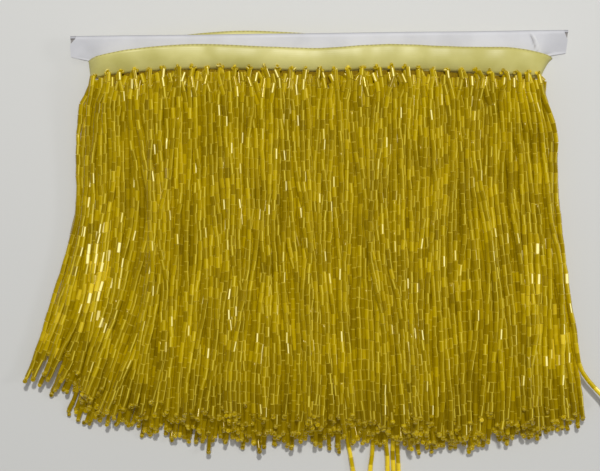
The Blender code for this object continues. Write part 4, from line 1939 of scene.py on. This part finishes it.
@dataclass(frozen=True)
class Lamp:
    """A round area light: the way to it from the roll, its distance, its width and its watts."""

    name: str
    way: tuple[float, float, float]
    distance: float
    size: float
    watts: float
    colour: str = "FFFFFF"

    def add(self) -> bpy.types.Object:
        """Adds the light, which shines at the roll.

        Returns:
            The light.
        """
        light = bpy.data.lights.new(self.name, "AREA")
        light.shape = "DISK"
        light.size = self.size
        light.energy = self.watts
        light.color = linear_colour(self.colour)[:3]
        lamp = add_object(self.name, light)
        way = Vector(self.way)
        lamp.location = way.normalized() * self.distance
        lamp.rotation_mode = "QUATERNION"
        lamp.rotation_quaternion = way.to_track_quat("Z", "Y")
        return lamp


@dataclass
class Studio:
    """A pale floor, soft light and a camera straight above, rolled a little as in the photo."""

    plan: Plan
    view_x: float = -9.7 * MM
    view_y: float = -88.8 * MM
    view_width: float = 260.8 * MM
    view_z: float = 14 * MM
    distance: float = 0.5
    roll: float = math.radians(-0.713)
    sensor: float = 36.0
    floor_half: float = 2.0
    sky: str = "F2F3F5"
    sky_strength: float = 0.3
    key: Lamp = Lamp("key", (0.05, 0.55, 1.0), 1.2, 0.1, 8.6, "FFFEFA")
    soft: tuple[Lamp, ...] = (
        Lamp("side", (1.0, 0.05, 0.75), 1.5, 0.3, 1.8),
        Lamp("top", (0.1, 0.1, 1.0), 1.7, 0.9, 3.2),
    )

    def make(self, clear: list[bpy.types.Object]) -> None:
        """Makes the floor, lights, world and camera.

        Args:
            clear: The pieces that leave no shadow of the key light, as the photo shows none.
        """
        bm = bmesh.new()
        bmesh.ops.create_grid(bm, x_segments=1, y_segments=1, size=self.floor_half)
        mesh = made_mesh(bm, "floor")
        mesh.materials.append(FloorFinish("pale_laminate").build())
        add_object("floor", mesh)

        world = bpy.data.worlds.new("studio")
        world.use_nodes = True
        sky = {"Color": linear_colour(self.sky), "Strength": self.sky_strength}
        fill(world.node_tree.nodes["Background"], sky)
        world.cycles_visibility.glossy = False
        bpy.context.scene.world = world

        key = self.key.add()
        unshaded = bpy.data.collections.new("unshaded")
        for piece in clear:
            unshaded.objects.link(piece)
        for item in unshaded.collection_objects:
            item.light_linking.link_state = "EXCLUDE"
        key.light_linking.blocker_collection = unshaded
        for lamp in self.soft:
            lamp.add().visible_glossy = False
        bpy.context.scene.view_settings.view_transform = "Standard"

        camera = add_object("camera", bpy.data.cameras.new("camera"))
        camera.data.sensor_width = self.sensor
        camera.data.lens = self.sensor * self.distance / self.view_width
        x, y = self.plan.x + self.view_x, self.plan.y + self.view_y
        camera.location = (x, y, self.view_z + self.distance)
        camera.rotation_euler = (0, 0, self.roll)
        bpy.context.scene.camera = camera


def main() -> None:
    """Builds the pieces in order."""
    logging.basicConfig(level=logging.INFO, format="%(message)s")
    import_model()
    plan = Plan.from_frame()
    card = FoldedCard(plan).make()
    heading = Heading(plan, SatinFinish("satin_ribbon"))
    ribbon = heading.make()
    Studio(plan).make([card, ribbon])
    pile = Pile(plan)
    pile.lay()
    glass, thread = GlassFinish("yellow_glass").build(), ThreadShadeFinish("thread_painted_shade").build()
    BeadWork(pile, heading, glass, thread).make()


if __name__ == "__main__":
    main()
